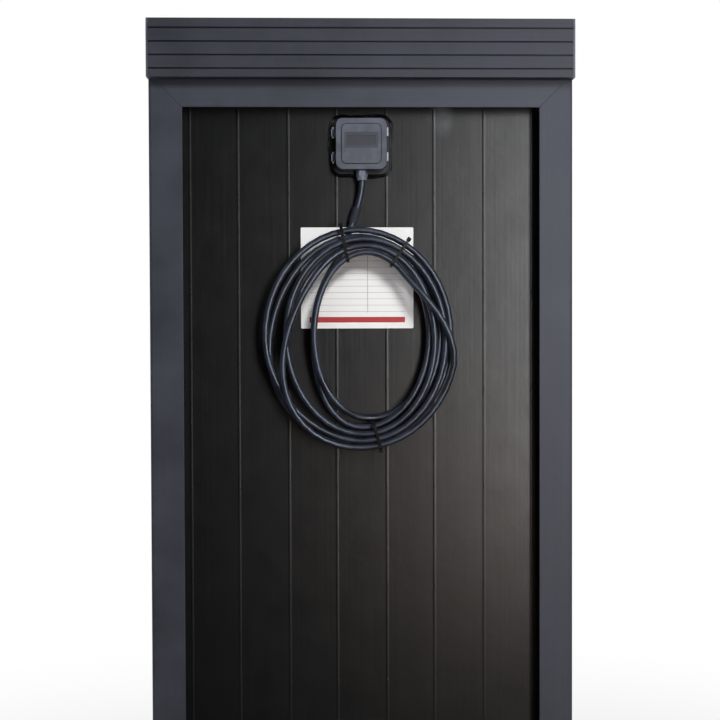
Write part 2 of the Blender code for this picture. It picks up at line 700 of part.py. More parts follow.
def junction_lid(origin):
    """The cap, whose parent is on the hinge: skirt, raised panel, bare recess, hinge eyes and latch tabs."""
    hinge_x = -LID_SIDE / 2 - HINGE_REACH
    hinge = bpy.data.objects.new("lid_hinge_axis", None)
    PARTS.objects.link(hinge)
    hinge.parent = origin
    hinge.matrix_local = Matrix.Translation((hinge_x, 0, SKIRT_HEIGHT))
    middle = -hinge_x
    top = LID_TOP - SKIRT_HEIGHT
    lid = slab("junction_box_lid", [round_rect(LID_SIDE, LID_SIDE, 9 * MM, 6, (middle, 0))],
               0, top, MOULDED, hinge)
    bevel = lid.modifiers.new("soft_edge", "BEVEL")
    bevel.width = 1.6 * MM
    bevel.segments = 2
    bevel.limit_method = "ANGLE"
    bevel.angle_limit = math.radians(60)
    inside = LID_SIDE - 2 * LID_WALL
    cut(lid, slab("lid_hollow", [round_rect(inside, inside, 7 * MM, 6, (middle, 0))],
                  -5 * MM, top - LID_WALL, None, hinge))
    panel = slab("lid_panel", [round_rect(LID_PANEL, LID_PANEL, 6 * MM, 5, (middle, 0))],
                 top - LID_WALL / 2, top + LID_RISE, None, hinge)
    border = slab("lid_recess_border", [round_rect(43 * MM, 20 * MM, 5 * MM, 5, (middle, 4.5 * MM))],
                  top + LID_RISE / 3, top + 2 * MM, None, hinge)
    recess = slab("lid_recess", [round_rect(37 * MM, 13 * MM, 3 * MM, 5, (middle, 4.5 * MM))],
                  top - LID_RISE / 2, top + 2 * MM, None, hinge)
    outer = LID_PANEL + 2 * LID_GROOVE
    groove = slab("lid_groove", [round_rect(outer, outer, 6 * MM + LID_GROOVE, 5, (middle, 0)),
                                 round_rect(LID_PANEL, LID_PANEL, 6 * MM, 5, (middle, 0))],
                  top - LID_GROOVE_DEPTH, top + 2 * MM, None, hinge)
    cut(lid, groove)
    join(lid, panel)
    cut(lid, border, recess)
    eye_half = HINGE_SPAN / 2 - HINGE_EAR - FIT
    skirt_x = middle - LID_SIDE / 2
    for side in (-1, 1):
        y = side * CLIP_OFFSET
        join(lid, rod("hinge_eye", HINGE_EYE, (0, y - eye_half, 0), (0, y + eye_half, 0), None, hinge, 16))
        join(lid, box("hinge_web", (HINGE_PIN + 0.4 * MM, y - eye_half, 0.2 * MM),
                      (skirt_x + LID_WALL / 2, y + eye_half, HINGE_EYE - 0.4 * MM), None, hinge))
        far = middle + LID_SIDE / 2
        tab_low = FOOT_HEIGHT + 2 * MM - SKIRT_HEIGHT
        join(lid, box("latch_tab", (far - LID_WALL / 2, y - LATCH_SPAN / 2, tab_low),
                      (far + 2.2 * MM, y + LATCH_SPAN / 2, top - 5 * MM), None, hinge))
    for side in (-1, 1):
        y = side * CLIP_OFFSET
        cut(lid, rod("eye_bore", HINGE_PIN + FIT, (0, y - eye_half - MM, 0), (0, y + eye_half + MM, 0),
                     None, hinge, 16))
    notch_y = -LID_SIDE / 2
    throat = SPOUT_RADIUS + FIT
    x, rise = middle + GLAND_X, GLAND_HEIGHT - SKIRT_HEIGHT
    notch = rod("gland_notch", throat, (x, notch_y - 4 * MM, rise), (x, notch_y + 6 * MM, rise), None, hinge)
    below = box("gland_notch_mouth", (x - throat, notch_y - 4 * MM, -3 * MM),
                (x + throat, notch_y + 6 * MM, rise), None, hinge)
    cut(lid, notch, below)


def junction_inside(origin):
    """Terminals on their carrier, two bypass diodes and the cable's two cores."""
    floor = FOOT_HEIGHT + FIT
    carrier_top = floor + 3 * MM
    box("terminal_carrier", (-22 * MM, 4 * MM, floor), (22 * MM, 16 * MM, carrier_top), RUBBER, origin)
    names = ("terminal_minus", "terminal_centre", "terminal_plus")
    for index, name in enumerate(names):
        x = (index - 1) * TERMINAL_PITCH
        plate = box(name, (x - 4.5 * MM, 4.5 * MM, carrier_top + FIT),
                    (x + 4.5 * MM, 15.5 * MM, carrier_top + 1.3 * MM), TINNED, origin)
        join(plate, rod(name + "_screw", 2.4 * MM, (x, 8.2 * MM, carrier_top + 1 * MM),
                        (x, 8.2 * MM, carrier_top + 3 * MM), None, origin, 12))
    for index, sx in enumerate((-1, 1)):
        x = sx * TERMINAL_PITCH / 2
        height = carrier_top + 4.2 * MM
        body = rod(f"bypass_diode_{index + 1}", 2.3 * MM, (x - 4 * MM, 12.8 * MM, height),
                   (x + 4 * MM, 12.8 * MM, height), RUBBER, origin, 16)
        for end in (-1, 1):
            leg_x = x + end * 6 * MM
            join(body, rod("diode_leg", 0.5 * MM, (x + end * 3.8 * MM, 12.8 * MM, height),
                           (leg_x + end * 0.5 * MM, 12.8 * MM, height), None, origin, 8))
            join(body, rod("diode_foot", 0.45 * MM, (leg_x, 12.8 * MM, height),
                           (leg_x, 12.8 * MM, carrier_top + 1.3 * MM + FIT), None, origin, 8))
    core_start = -BOX_WALL_SIDE / 2 + BOX_WALL + CABLE_END + FIT
    for name, sx, material in (("core_minus", -1, SHEATH), ("core_plus", 1, RED_CORE)):
        x = GLAND_X + sx * 1.8 * MM
        end_x = sx * TERMINAL_PITCH
        lift = carrier_top + 1.3 * MM + CORE_RADIUS + FIT
        route = [Vector(p) for p in (
            (x, core_start - 5 * MM, GLAND_HEIGHT), (x, core_start, GLAND_HEIGHT),
            (x + sx * 1 * MM, core_start + 5 * MM, GLAND_HEIGHT),
            (end_x - sx * 2 * MM, -8 * MM, GLAND_HEIGHT - 1 * MM),
            (end_x, 5.2 * MM, lift), (end_x, 12 * MM, lift),
        )]
        core = tube(name, smooth_through(route, 4), CORE_RADIUS, material)
        core.parent = origin


def silicone_bead(origin):
    """The adhesive squeezed out round the foot, in a slightly wavy line."""
    points = []
    for index, (x, y) in enumerate(round_rect(FOOT_WIDTH + 3.4 * MM, FOOT_LENGTH + 3.8 * MM, 13 * MM, 8)):
        wave = 1 + 0.014 * math.sin(index * 1.3) + 0.012 * math.sin(index * 0.45)
        points.append((x * wave, y * wave))
    inside = round_rect(FOOT_WIDTH + 2 * FIT, FOOT_LENGTH + 2 * FIT, 12.2 * MM, 8)
    ring = [points, inside]
    slab("silicone_bead", ring, FIT, 1.7 * MM, RUBBER, origin)


def cable_gland(origin):
    """The dome nut on the spout, and the rubber seal that it squeezes."""
    top = -LID_SIDE / 2 - FIT
    thread_end = -LID_SIDE / 2 - 7 * MM
    hexagon = [(GLAND_X + NUT_RADIUS * math.cos(math.pi / 3 * i), NUT_RADIUS * math.sin(math.pi / 3 * i))
               for i in range(6)]
    along = Matrix.Translation((0, top, GLAND_HEIGHT)) @ Matrix.Rotation(math.pi / 2, 4, "X")
    nut = slab("gland_nut", [hexagon], 0, NUT_LENGTH * 0.62, MOULDED, origin, along)
    join(nut, rod("nut_dome", NUT_RADIUS * 0.9, (GLAND_X, top - NUT_LENGTH * 0.6, GLAND_HEIGHT),
                  (GLAND_X, top - NUT_LENGTH, GLAND_HEIGHT), None, origin, 24, NUT_RADIUS * 0.83))
    cut(nut, rod("nut_thread", SPOUT_RADIUS + FIT, (GLAND_X, top + 2 * MM, GLAND_HEIGHT),
                 (GLAND_X, top - NUT_LENGTH * 0.8, GLAND_HEIGHT), None, origin),
        rod("nut_bore", CABLE / 2 + FIT, (GLAND_X, top, GLAND_HEIGHT),
            (GLAND_X, top - NUT_LENGTH - 2 * MM, GLAND_HEIGHT), None, origin))
    seal = rod("gland_seal", SPOUT_RADIUS, (GLAND_X, thread_end - FIT, GLAND_HEIGHT),
               (GLAND_X, top - NUT_LENGTH * 0.8 + FIT, GLAND_HEIGHT), RUBBER, origin)
    cut(seal, rod("seal_bore", CABLE / 2 + FIT, (GLAND_X, top, GLAND_HEIGHT),
                  (GLAND_X, top - NUT_LENGTH, GLAND_HEIGHT), None, origin))


# Cable: lead, sleeve, coil and ties. Heights are measured from the backsheet.

def passed(turn, stretch):
    """How far this turn is through a stretch of the coil, eased from 0 to 1."""
    return ease((turn - stretch[0]) / (stretch[1] - stretch[0]))


def coil_point(turn):
    """The coil's centreline after this many turns: (x, height, z), anticlockwise seen from behind."""
    angle = COIL_START + 2 * math.pi * turn
    climb = ease((turn - TURNS_OUT) / (CLIMB_END - TURNS_OUT))
    inward = max(turn - TURNS_OUT - TURNS_CLIMB, 0)
    tail = (inward - TURNS_IN) / TURNS_TAIL
    across = min(turn, TURNS_OUT) - min(inward, TURNS_IN)
    across += (FRONT_LANE - TURNS_OUT) * passed(turn, SETTLE)
    across += CROSS_LANES * (passed(turn, CROSS_OUT) - passed(turn, CROSS_BACK))
    across += BULGE * ease(1 - abs(turn - BULGE_AT) / BULGE_REACH)
    height = BACK_LAYER + LAYER_STEP * climb
    for hump in HUMPS:
        height += HUMP * (passed(turn, hump[:2]) - passed(turn, hump[2:]))
    if tail > 0:
        across += TAIL_IN * ease(tail / 0.5) + TAIL_OUT * ease((tail - 0.55) / 0.45)
        height += (TAIL_LAYER - BACK_LAYER - LAYER_STEP) * ease((tail - 0.15) / 0.5)
    share = across / TURNS_ACROSS
    width = COIL_INNER[0] + (COIL_OUTER[0] - COIL_INNER[0]) * share
    tall = COIL_INNER[1] + (COIL_OUTER[1] - COIL_INNER[1]) * share
    return Vector((
        COIL_INNER_X + (COIL_OUTER_X - COIL_INNER_X) * share + COIL_FRONT_SHIFT[0] * climb
        + width * math.cos(angle), height,
        COIL_Z + COIL_FRONT_SHIFT[1] * climb + tall * math.sin(angle),
    ))


def in_panel(point):
    """(x, height above the backsheet, z) in the panel's own axes."""
    return Vector((point[0], SHEET_Y - point[1], point[2]))


COIL_TURNS = TURNS_OUT + TURNS_CLIMB + TURNS_IN + TURNS_TAIL


def cable_coil():
    """The coil as one unbroken tube. Prints its length and the least gap between its turns."""
    count = round(COIL_TURNS * POINTS_PER_TURN)
    path = [in_panel(coil_point(COIL_TURNS * i / count)) for i in range(count + 1)]
    tube("cable_coil", path, CABLE / 2, SHEATH, 1)
    fine = np.array([in_panel(coil_point(COIL_TURNS * i / 1600)) for i in range(1601)])
    run = np.concatenate([[0], np.cumsum(np.linalg.norm(np.diff(fine, axis=0), axis=1))])
    gaps = np.linalg.norm(fine[:, None] - fine[None, :], axis=2) - CABLE
    gaps[np.abs(run[:, None] - run[None, :]) < 4 * CABLE] = 1
    print(f"coil length {run[-1]:.3f} m, least gap between turns {gaps.min() / MM:.2f} mm")


def lead_route():
    """Points of the lead, from the gland down behind the coil's top to where the coil starts.

    The first only steers, and the last stretch is straight, so that it meets the coil squarely.
    """
    x = BOX_X + GLAND_X
    box_bottom = BOX_Z - BOX_WALL_SIDE / 2
    start = coil_point(0)
    heading = (coil_point(1 / POINTS_PER_TURN) - start).normalized()
    end = start - heading * FIT
    points = [
        (x, GLAND_HEIGHT, box_bottom + 12 * MM), (x, GLAND_HEIGHT, box_bottom + BOX_WALL + CABLE_END),
        (x, GLAND_HEIGHT, BOX_Z - LID_SIDE / 2 - 6 * MM), (x, GLAND_HEIGHT, BOX_Z - LID_SIDE / 2 - 15 * MM),
        (x - 1.6 * MM, 9.6 * MM, 447 * MM), (-5.4 * MM, 7.8 * MM, 428.5 * MM),
        (-11.4 * MM, 6.3 * MM, 409.5 * MM),
        (-27 * MM, 4.95 * MM, 371 * MM), (-44 * MM, 7 * MM, 340 * MM),
        tuple(end - heading * 1.5 * CABLE), tuple(end),
    ]
    return [in_panel(p) for p in points]


def cable_lead():
    """The lead from inside the box to the coil, and the shrink sleeve over its middle."""
    route = lead_route()
    path = smooth_through(route, 3) + [route[-1]]
    tube("cable_lead", path, CABLE / 2, SHEATH, 2)
    sleeve_path = smooth_through(route[4:8], 3)
    sleeve = tube("sleeve_outside", sleeve_path, SLEEVE_RADIUS, RUBBER, 4)
    sleeve = add("lead_sleeve", as_mesh(sleeve), RUBBER)
    ahead = sleeve_path[-1] * 2 - sleeve_path[-2]
    behind = sleeve_path[0] * 2 - sleeve_path[1]
    bore = tube("sleeve_bore", [behind, *sleeve_path, ahead], CABLE / 2 + 2 * FIT, RUBBER, 4)
    cut(sleeve, add("sleeve_bore_shape", as_mesh(bore)))


def in_tie_plane(turn, anchor, along):
    """Where the strand near this turn crosses the plane of a tie."""
    step = 0.002
    for _ in range(4):
        rate = (coil_point(turn + step) - coil_point(turn - step)).dot(along) / (2 * step)
        turn -= (coil_point(turn) - anchor).dot(along) / rate
    return coil_point(turn)


def cable_tie(name, degrees):
    """A tie round both layers of the coil at this angle: a rounded band with its head on the outer side."""
    first = (math.radians(degrees) - COIL_START) / (2 * math.pi) % 1
    last = TURNS_OUT + TURNS_CLIMB + TURNS_IN
    turns = [first + i for i in range(int(last - first) + 1)]
    step = 0.002
    middle_turn = turns[len(turns) // 2 - 1]
    anchor = coil_point(middle_turn)
    along = coil_point(middle_turn + step) - coil_point(middle_turn - step)
    along.y = 0
    along.normalize()
    points = [in_tie_plane(turn, anchor, along) for turn in turns]
    outward = Vector((along.z, 0, -along.x))
    reach = [p.x * outward.x + p.z * outward.z for p in points]
    slip = CABLE / 2 + 1.2 * MM
    width = max(reach) - min(reach) + 2 * slip
    depth = LAYER_STEP + 2 * (CABLE / 2 + 0.5 * MM)
    middle = points[0] + outward * ((max(reach) + min(reach)) / 2 - reach[0])
    middle.y = BACK_LAYER + LAYER_STEP / 2
    outer = round_rect(width + 2 * TIE_THICKNESS, depth + 2 * TIE_THICKNESS, 4.6 * MM, 4)
    inner = round_rect(width, depth, 3.4 * MM, 4)
    band = slab(name, [outer, inner], -TIE_WIDTH / 2, TIE_WIDTH / 2, TIE_NYLON)
    edge = width / 2 + TIE_THICKNESS
    head = box(name + "_head", (edge - 0.8 * MM, -1 * MM, -2.7 * MM), (edge + 3.4 * MM, 4.6 * MM, 2.7 * MM))
    turn = Matrix((
        (outward.x, 0, -along.x, 0), (0, -1, 0, 0), (outward.z, 0, -along.z, 0), (0, 0, 0, 1),
    ))
    place = Matrix.Translation(in_panel(middle)) @ turn
    band.matrix_world = place
    head.matrix_world = place @ head.matrix_basis
    join(band, head)


def build():
    rails = frame()
    corner_keys()
    spoilers(rails)
    laminate()
    edge_seal()
    rating_label()
    origin = box_empty()
    junction_base(origin)
    junction_gasket(origin)
    junction_lid(origin)
    junction_inside(origin)
    silicone_bead(origin)
    cable_gland(origin)
    cable_lead()
    cable_coil()
    for name, degrees in TIE_ANGLES.items():
        cable_tie(name, degrees)


build()
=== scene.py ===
import math

import bmesh
import bpy
from mathutils import Euler, Matrix, Vector


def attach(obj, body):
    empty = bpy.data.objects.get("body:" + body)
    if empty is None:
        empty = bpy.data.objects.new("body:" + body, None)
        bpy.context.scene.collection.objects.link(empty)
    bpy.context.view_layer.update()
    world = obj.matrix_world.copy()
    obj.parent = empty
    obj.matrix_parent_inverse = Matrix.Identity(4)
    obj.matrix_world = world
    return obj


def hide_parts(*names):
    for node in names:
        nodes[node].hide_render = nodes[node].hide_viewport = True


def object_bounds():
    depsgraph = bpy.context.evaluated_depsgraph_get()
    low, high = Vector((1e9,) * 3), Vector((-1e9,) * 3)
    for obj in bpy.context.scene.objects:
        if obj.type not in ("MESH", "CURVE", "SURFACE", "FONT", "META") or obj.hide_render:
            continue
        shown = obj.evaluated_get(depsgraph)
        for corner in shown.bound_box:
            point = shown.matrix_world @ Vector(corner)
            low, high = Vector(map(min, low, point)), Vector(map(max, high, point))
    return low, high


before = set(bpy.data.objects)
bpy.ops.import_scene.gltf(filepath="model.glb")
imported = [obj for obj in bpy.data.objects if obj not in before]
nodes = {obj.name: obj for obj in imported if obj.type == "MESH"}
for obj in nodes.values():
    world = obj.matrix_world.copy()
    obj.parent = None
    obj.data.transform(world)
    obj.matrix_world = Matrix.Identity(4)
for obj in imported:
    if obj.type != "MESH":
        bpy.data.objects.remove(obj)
cadLow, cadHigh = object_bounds()
scene = bpy.context.scene
scene.view_settings.view_transform = "Standard"
mm = 0.001
sheetY = 39.8          # rearmost skin of the backsheet, in mm
print("frame loaded with", len(nodes), "nodes")


# camera

cameraSettings = {
    "place": (-0.03494, -1.40308, 0.25916),
    "turn": (88.927, 0.194, -1.303),       # degrees
    "focal": 55.491,
    "sensor": 36.0,
}
cameraData = bpy.data.cameras.new("camera")
cameraData.lens = cameraSettings["focal"]
cameraData.sensor_width = cameraSettings["sensor"]
camera = bpy.data.objects.new("camera", cameraData)
camera.location = cameraSettings["place"]
camera.rotation_euler = Euler([math.radians(a) for a in cameraSettings["turn"]])
scene.collection.objects.link(camera)
scene.camera = camera
print("camera placed")


# materials: a colour function, a node function, then one function for each real material

def linearColour(code):
    channels = []
    for start in (1, 3, 5):
        value = int(code[start:start + 2], 16) / 255
        channels.append(value / 12.92 if value <= 0.04045 else ((value + 0.055) / 1.055) ** 2.4)
    return (*channels, 1.0)


def addNode(tree, kind, settings=None, inputs=None):
    node = tree.nodes.new("ShaderNode" + kind)
    for key, value in (settings or {}).items():
        setattr(node, key, value)
    for key, value in (inputs or {}).items():
        if isinstance(value, bpy.types.NodeSocket):
            tree.links.new(value, node.inputs[key])
        else:
            node.inputs[key].default_value = value
    return node


def startMaterial(name, roughness, metallic=0.0, ior=None):
    material = bpy.data.materials.new(name)
    material.use_nodes = True
    tree = material.node_tree
    shader = tree.nodes["Principled BSDF"]
    shader.inputs["Roughness"].default_value = roughness
    shader.inputs["Metallic"].default_value = metallic
    if ior:
        shader.inputs["IOR"].default_value = ior
    place = addNode(tree, "TexCoord").outputs["Object"]
    return material, tree, shader, place


def perMetre(sizeMm):
    return 1 / (sizeMm * mm)      # a pattern of this size, as a texture scale


noiseLow, noiseHigh = 0.3, 0.7    # most of a noise texture's values lie between these

# In each finish below, a pattern's size is in mm, mottle is the stretch of its noise that goes from the
# dark tone to the light one, and bump is a strength and a depth in mm.


# Anodised aluminium, extruded and etched before dyeing: satin slate, with faint draw
# lines along its length and duller handling smudges. The spoilers' grooves are darkened with grime and
# painted shade.
anodisedFinish = {
    "roughness": 0.55, "metallic": 0.25, "dull": (0.5, 0.62), "bump": (0.25, 0.03),
    "drawLine": 1.6, "drawn": 0.01, "smudge": 70, "grit": 0.7, "lineShare": 0.25, "mottle": (0.42, 0.85),
    "grimeAndShade": "#121419", "grimeAndShadeDeep": (0.25, 0.8), "grimeAndShadeEnd": 1.5,      # down from the rear face
    "grimeAndShadeAt": 625.2, "grimeAndShadeReach": 26.9,                               # up or down from the middle
}


def anodisedAluminium(name, dark, light, alongX, grooved=False):
    look = anodisedFinish
    material, tree, shader, place = startMaterial(name, look["roughness"], look["metallic"])
    stretch = (look["drawn"], 1, 1) if alongX else (1, 1, look["drawn"])
    drawn = addNode(tree, "Mapping", inputs={"Vector": place, "Scale": stretch})
    lines = addNode(tree, "TexNoise", inputs={
        "Vector": drawn.outputs[0], "Scale": perMetre(look["drawLine"]), "Detail": 3})
    smudges = addNode(tree, "TexNoise", inputs={
        "Vector": place, "Scale": perMetre(look["smudge"]), "Detail": 5, "Roughness": 0.6})
    grit = addNode(tree, "TexNoise", inputs={
        "Vector": place, "Scale": perMetre(look["grit"]), "Detail": 1})
    tone = addNode(tree, "Math", {"operation": "MULTIPLY_ADD"}, {
        0: lines.outputs[0], 1: look["lineShare"], 2: smudges.outputs[0]})
    share = addNode(tree, "MapRange", inputs={
        "Value": tone.outputs[0], "From Min": look["mottle"][0], "From Max": look["mottle"][1]})
    colour = addNode(tree, "Mix", {"data_type": "RGBA"}, {
        0: share.outputs[0], 6: linearColour(dark), 7: linearColour(light)})
    # groove floors near the rear face are darkened: grime and painted shade
    if grooved:
        axes = addNode(tree, "SeparateXYZ", inputs={0: place})
        deep = addNode(tree, "MapRange", inputs={
            "Value": axes.outputs["Y"], "From Min": look["grimeAndShadeDeep"][0] * mm,
            "From Max": look["grimeAndShadeDeep"][1] * mm})
        inGroove = addNode(tree, "Math", {"operation": "LESS_THAN"}, {
            0: axes.outputs["Y"], 1: look["grimeAndShadeEnd"] * mm})
        fromMiddle = addNode(tree, "Math", {"operation": "ABSOLUTE"}, {0: axes.outputs["Z"]})
        onFace = addNode(tree, "Math", {"operation": "COMPARE"}, {
            0: fromMiddle.outputs[0], 1: look["grimeAndShadeAt"] * mm, 2: look["grimeAndShadeReach"] * mm})
        held = addNode(tree, "Math", {"operation": "MULTIPLY"}, {
            0: inGroove.outputs[0], 1: onFace.outputs[0]})
        grimyAndShaded = addNode(tree, "Math", {"operation": "MULTIPLY"}, {
            0: deep.outputs[0], 1: held.outputs[0]})
        colour = addNode(tree, "Mix", {"data_type": "RGBA"}, {
            0: grimyAndShaded.outputs[0], 6: colour.outputs[2], 7: linearColour(look["grimeAndShade"])})
    tree.links.new(colour.outputs[2], shader.inputs["Base Color"])
    dull = addNode(tree, "MapRange", inputs={
        "Value": smudges.outputs[0], "From Min": noiseLow, "From Max": noiseHigh,
        "To Min": look["dull"][0], "To Max": look["dull"][1]})
    tree.links.new(dull.outputs[0], shader.inputs["Roughness"])
    surface = addNode(tree, "Math", {"operation": "ADD"}, {0: lines.outputs[0], 1: grit.outputs[0]})
    bump = addNode(tree, "Bump", inputs={
        "Height": surface.outputs[0], "Strength": look["bump"][0], "Distance": look["bump"][1] * mm})
    tree.links.new(bump.outputs[0], shader.inputs["Normal"])
    return material


# Polyester backsheet film, calendered and laminated over the cells: near black and
# half glossy, with roll streaks, shallow ripples and a dusty wipe near the box. It is
# stretched over the ribbons, where it shines less, and a paler copy there is a painted highlight.
filmFinish = {
    "streak": 4, "rolled": 0.012, "dimple": 9, "ripple": 38, "mottle": (0.3, 0.75), "glossVary": 0.025,
    "bumps": ((0.4, 0.25), (0.3, 0.25), (0.5, 0.7)),      # of streaks, dimples and ripples
    "dust": "#8C9298", "dustAt": (106, 40, 553), "dustReach": 38, "dustShape": (2, 1, 1), "dustShare": 0.8,
}


def backsheetFilm(name, dark, light, roughness, ior):
    look = filmFinish
    material, tree, shader, place = startMaterial(name, roughness, ior=ior)
    rolled = addNode(tree, "Mapping", inputs={"Vector": place, "Scale": (1, 1, look["rolled"])})
    streaks = addNode(tree, "TexNoise", inputs={
        "Vector": rolled.outputs[0], "Scale": perMetre(look["streak"]), "Detail": 4})
    dimples = addNode(tree, "TexNoise", inputs={
        "Vector": place, "Scale": perMetre(look["dimple"]), "Detail": 1})
    ripples = addNode(tree, "TexNoise", inputs={
        "Vector": place, "Scale": perMetre(look["ripple"]), "Detail": 3})
    share = addNode(tree, "MapRange", inputs={
        "Value": streaks.outputs[0], "From Min": look["mottle"][0], "From Max": look["mottle"][1]})
    colour = addNode(tree, "Mix", {"data_type": "RGBA"}, {
        0: share.outputs[0], 6: linearColour(dark), 7: linearColour(light)})
    offset = addNode(tree, "VectorMath", {"operation": "SUBTRACT"}, {
        0: place, 1: [c * mm for c in look["dustAt"]]})
    squeezed = addNode(tree, "VectorMath", {"operation": "MULTIPLY"}, {
        0: offset.outputs[0], 1: look["dustShape"]})
    away = addNode(tree, "VectorMath", {"operation": "LENGTH"}, {0: squeezed.outputs[0]})
    dust = addNode(tree, "MapRange", {"interpolation_type": "SMOOTHSTEP"}, {
        "Value": away.outputs["Value"], "From Min": look["dustReach"] * mm, "From Max": 0,
        "To Min": 0, "To Max": look["dustShare"]})
    patchy = addNode(tree, "Math", {"operation": "MULTIPLY"}, {
        0: dust.outputs[0], 1: ripples.outputs[0]})
    dusted = addNode(tree, "Mix", {"data_type": "RGBA"}, {
        0: patchy.outputs[0], 6: colour.outputs[2], 7: linearColour(look["dust"])})
    tree.links.new(dusted.outputs[2], shader.inputs["Base Color"])
    gloss = addNode(tree, "MapRange", inputs={
        "Value": ripples.outputs[0], "From Min": noiseLow, "From Max": noiseHigh,
        "To Min": roughness - look["glossVary"], "To Max": roughness + look["glossVary"]})
    tree.links.new(gloss.outputs[0], shader.inputs["Roughness"])
    under = {}
    for noise, (strength, deep) in zip((streaks, dimples, ripples), look["bumps"]):
        bump = addNode(tree, "Bump", inputs={
            "Height": noise.outputs[0], "Strength": strength, "Distance": deep * mm, **under})
        under = {"Normal": bump.outputs[0]}
    tree.links.new(bump.outputs[0], shader.inputs["Normal"])
    return material


# Moulded plastic with a spark-eroded grain: soft blue-grey sheen, fine pebbling, paler rubs.
# Blocks are (low, high, colour) in mm: etched recesses, painted shade in a groove and on a foot, and painted
# highlights on tabs, eyes and ears.
plasticFinish = {
    "ior": 1.55, "rub": 14, "mottle": (0.35, 0.7), "wear": 0.06, "feather": 0.4, "bump": (0.3, 0.06),
}


def mouldedPlastic(name, dark, light, roughness, grain, blocks=()):
    look = plasticFinish
    material, tree, shader, place = startMaterial(name, roughness, ior=look["ior"])
    pebbles = addNode(tree, "TexNoise", inputs={
        "Vector": place, "Scale": perMetre(grain), "Detail": 2})
    rubs = addNode(tree, "TexNoise", inputs={
        "Vector": place, "Scale": perMetre(look["rub"]), "Detail": 5})
    share = addNode(tree, "MapRange", inputs={
        "Value": rubs.outputs[0], "From Min": look["mottle"][0], "From Max": look["mottle"][1]})
    colour = addNode(tree, "Mix", {"data_type": "RGBA"}, {
        0: share.outputs[0], 6: linearColour(dark), 7: linearColour(light)}).outputs[2]
    for low, high, tone in blocks:
        middle = [(a + b) / 2 * mm for a, b in zip(low, high)]
        half = [(b - a) / 2 * mm for a, b in zip(low, high)]
        offset = addNode(tree, "VectorMath", {"operation": "SUBTRACT"}, {0: place, 1: middle})
        reach = addNode(tree, "VectorMath", {"operation": "ABSOLUTE"}, {0: offset.outputs[0]})
        spare = addNode(tree, "VectorMath", {"operation": "SUBTRACT"}, {0: half, 1: reach.outputs[0]})
        axes = addNode(tree, "SeparateXYZ", inputs={0: spare.outputs[0]})
        least = addNode(tree, "Math", {"operation": "MINIMUM"}, {
            0: axes.outputs[0], 1: axes.outputs[1]})
        inside = addNode(tree, "Math", {"operation": "MINIMUM"}, {
            0: least.outputs[0], 1: axes.outputs[2]})
        mask = addNode(tree, "MapRange", inputs={
            "Value": inside.outputs[0], "From Min": 0, "From Max": look["feather"] * mm})
        colour = addNode(tree, "Mix", {"data_type": "RGBA"}, {
            0: mask.outputs[0], 6: colour, 7: linearColour(tone)}).outputs[2]
    tree.links.new(colour, shader.inputs["Base Color"])
    worn = addNode(tree, "MapRange", inputs={
        "Value": rubs.outputs[0], "From Min": noiseLow, "From Max": noiseHigh,
        "To Min": roughness - look["wear"], "To Max": roughness + look["wear"]})
    tree.links.new(worn.outputs[0], shader.inputs["Roughness"])
    bump = addNode(tree, "Bump", inputs={
        "Height": pebbles.outputs[0], "Strength": look["bump"][0], "Distance": look["bump"][1] * mm})
    tree.links.new(bump.outputs[0], shader.inputs["Normal"])
    return material


# Extruded cross-linked sheath: dark and waxy, with long cool highlights, talc dust and scuffs.
sheathFinish = {
    "dark": "#1C1F25", "light": "#363C47", "sheen": "#DDE9FF", "ior": 1.9, "roughness": 0.4,
    "gloss": (0.35, 0.46), "scuff": 26, "mottle": (0.4, 0.75), "skin": 0.9, "bump": (0.2, 0.04),
}


def cableSheath():
    look = sheathFinish
    material, tree, shader, place = startMaterial(
        "cross_linked_cable_sheath", look["roughness"], ior=look["ior"])
    shader.inputs["Specular Tint"].default_value = linearColour(look["sheen"])
    scuffs = addNode(tree, "TexNoise", inputs={
        "Vector": place, "Scale": perMetre(look["scuff"]), "Detail": 6, "Roughness": 0.65})
    skin = addNode(tree, "TexNoise", inputs={
        "Vector": place, "Scale": perMetre(look["skin"]), "Detail": 2})
    share = addNode(tree, "MapRange", inputs={
        "Value": scuffs.outputs[0], "From Min": look["mottle"][0], "From Max": look["mottle"][1]})
    colour = addNode(tree, "Mix", {"data_type": "RGBA"}, {
        0: share.outputs[0], 6: linearColour(look["dark"]), 7: linearColour(look["light"])})
    tree.links.new(colour.outputs[2], shader.inputs["Base Color"])
    gloss = addNode(tree, "MapRange", inputs={
        "Value": scuffs.outputs[0], "From Min": noiseLow, "From Max": noiseHigh,
        "To Min": look["gloss"][0], "To Max": look["gloss"][1]})
    tree.links.new(gloss.outputs[0], shader.inputs["Roughness"])
    bump = addNode(tree, "Bump", inputs={
        "Height": skin.outputs[0], "Strength": look["bump"][0], "Distance": look["bump"][1] * mm})
    tree.links.new(bump.outputs[0], shader.inputs["Normal"])
    return material


# Silicone and rubber: deep black; the cured bead is wet-looking, the seals are dull.
siliconeFinish = {"ior": 1.43, "bump": (0.4, 0.2)}


def siliconeRubber(name, dark, light, roughness, lump):
    look = siliconeFinish
    material, tree, shader, place = startMaterial(name, roughness, ior=look["ior"])
    lumps = addNode(tree, "TexNoise", inputs={"Vector": place, "Scale": perMetre(lump), "Detail": 3})
    colour = addNode(tree, "Mix", {"data_type": "RGBA"}, {
        0: lumps.outputs[0], 6: linearColour(dark), 7: linearColour(light)})
    tree.links.new(colour.outputs[2], shader.inputs["Base Color"])
    bump = addNode(tree, "Bump", inputs={
        "Height": lumps.outputs[0], "Strength": look["bump"][0], "Distance": look["bump"][1] * mm})
    tree.links.new(bump.outputs[0], shader.inputs["Normal"])
    return material


# Bare metals as rolled, drawn or plated: bright, with fine lines and a patchy tarnish.
metalFinish = {"line": 0.8, "tarnish": 9, "gloss": (-0.1, 0.15), "bump": (0.3, 0.02)}


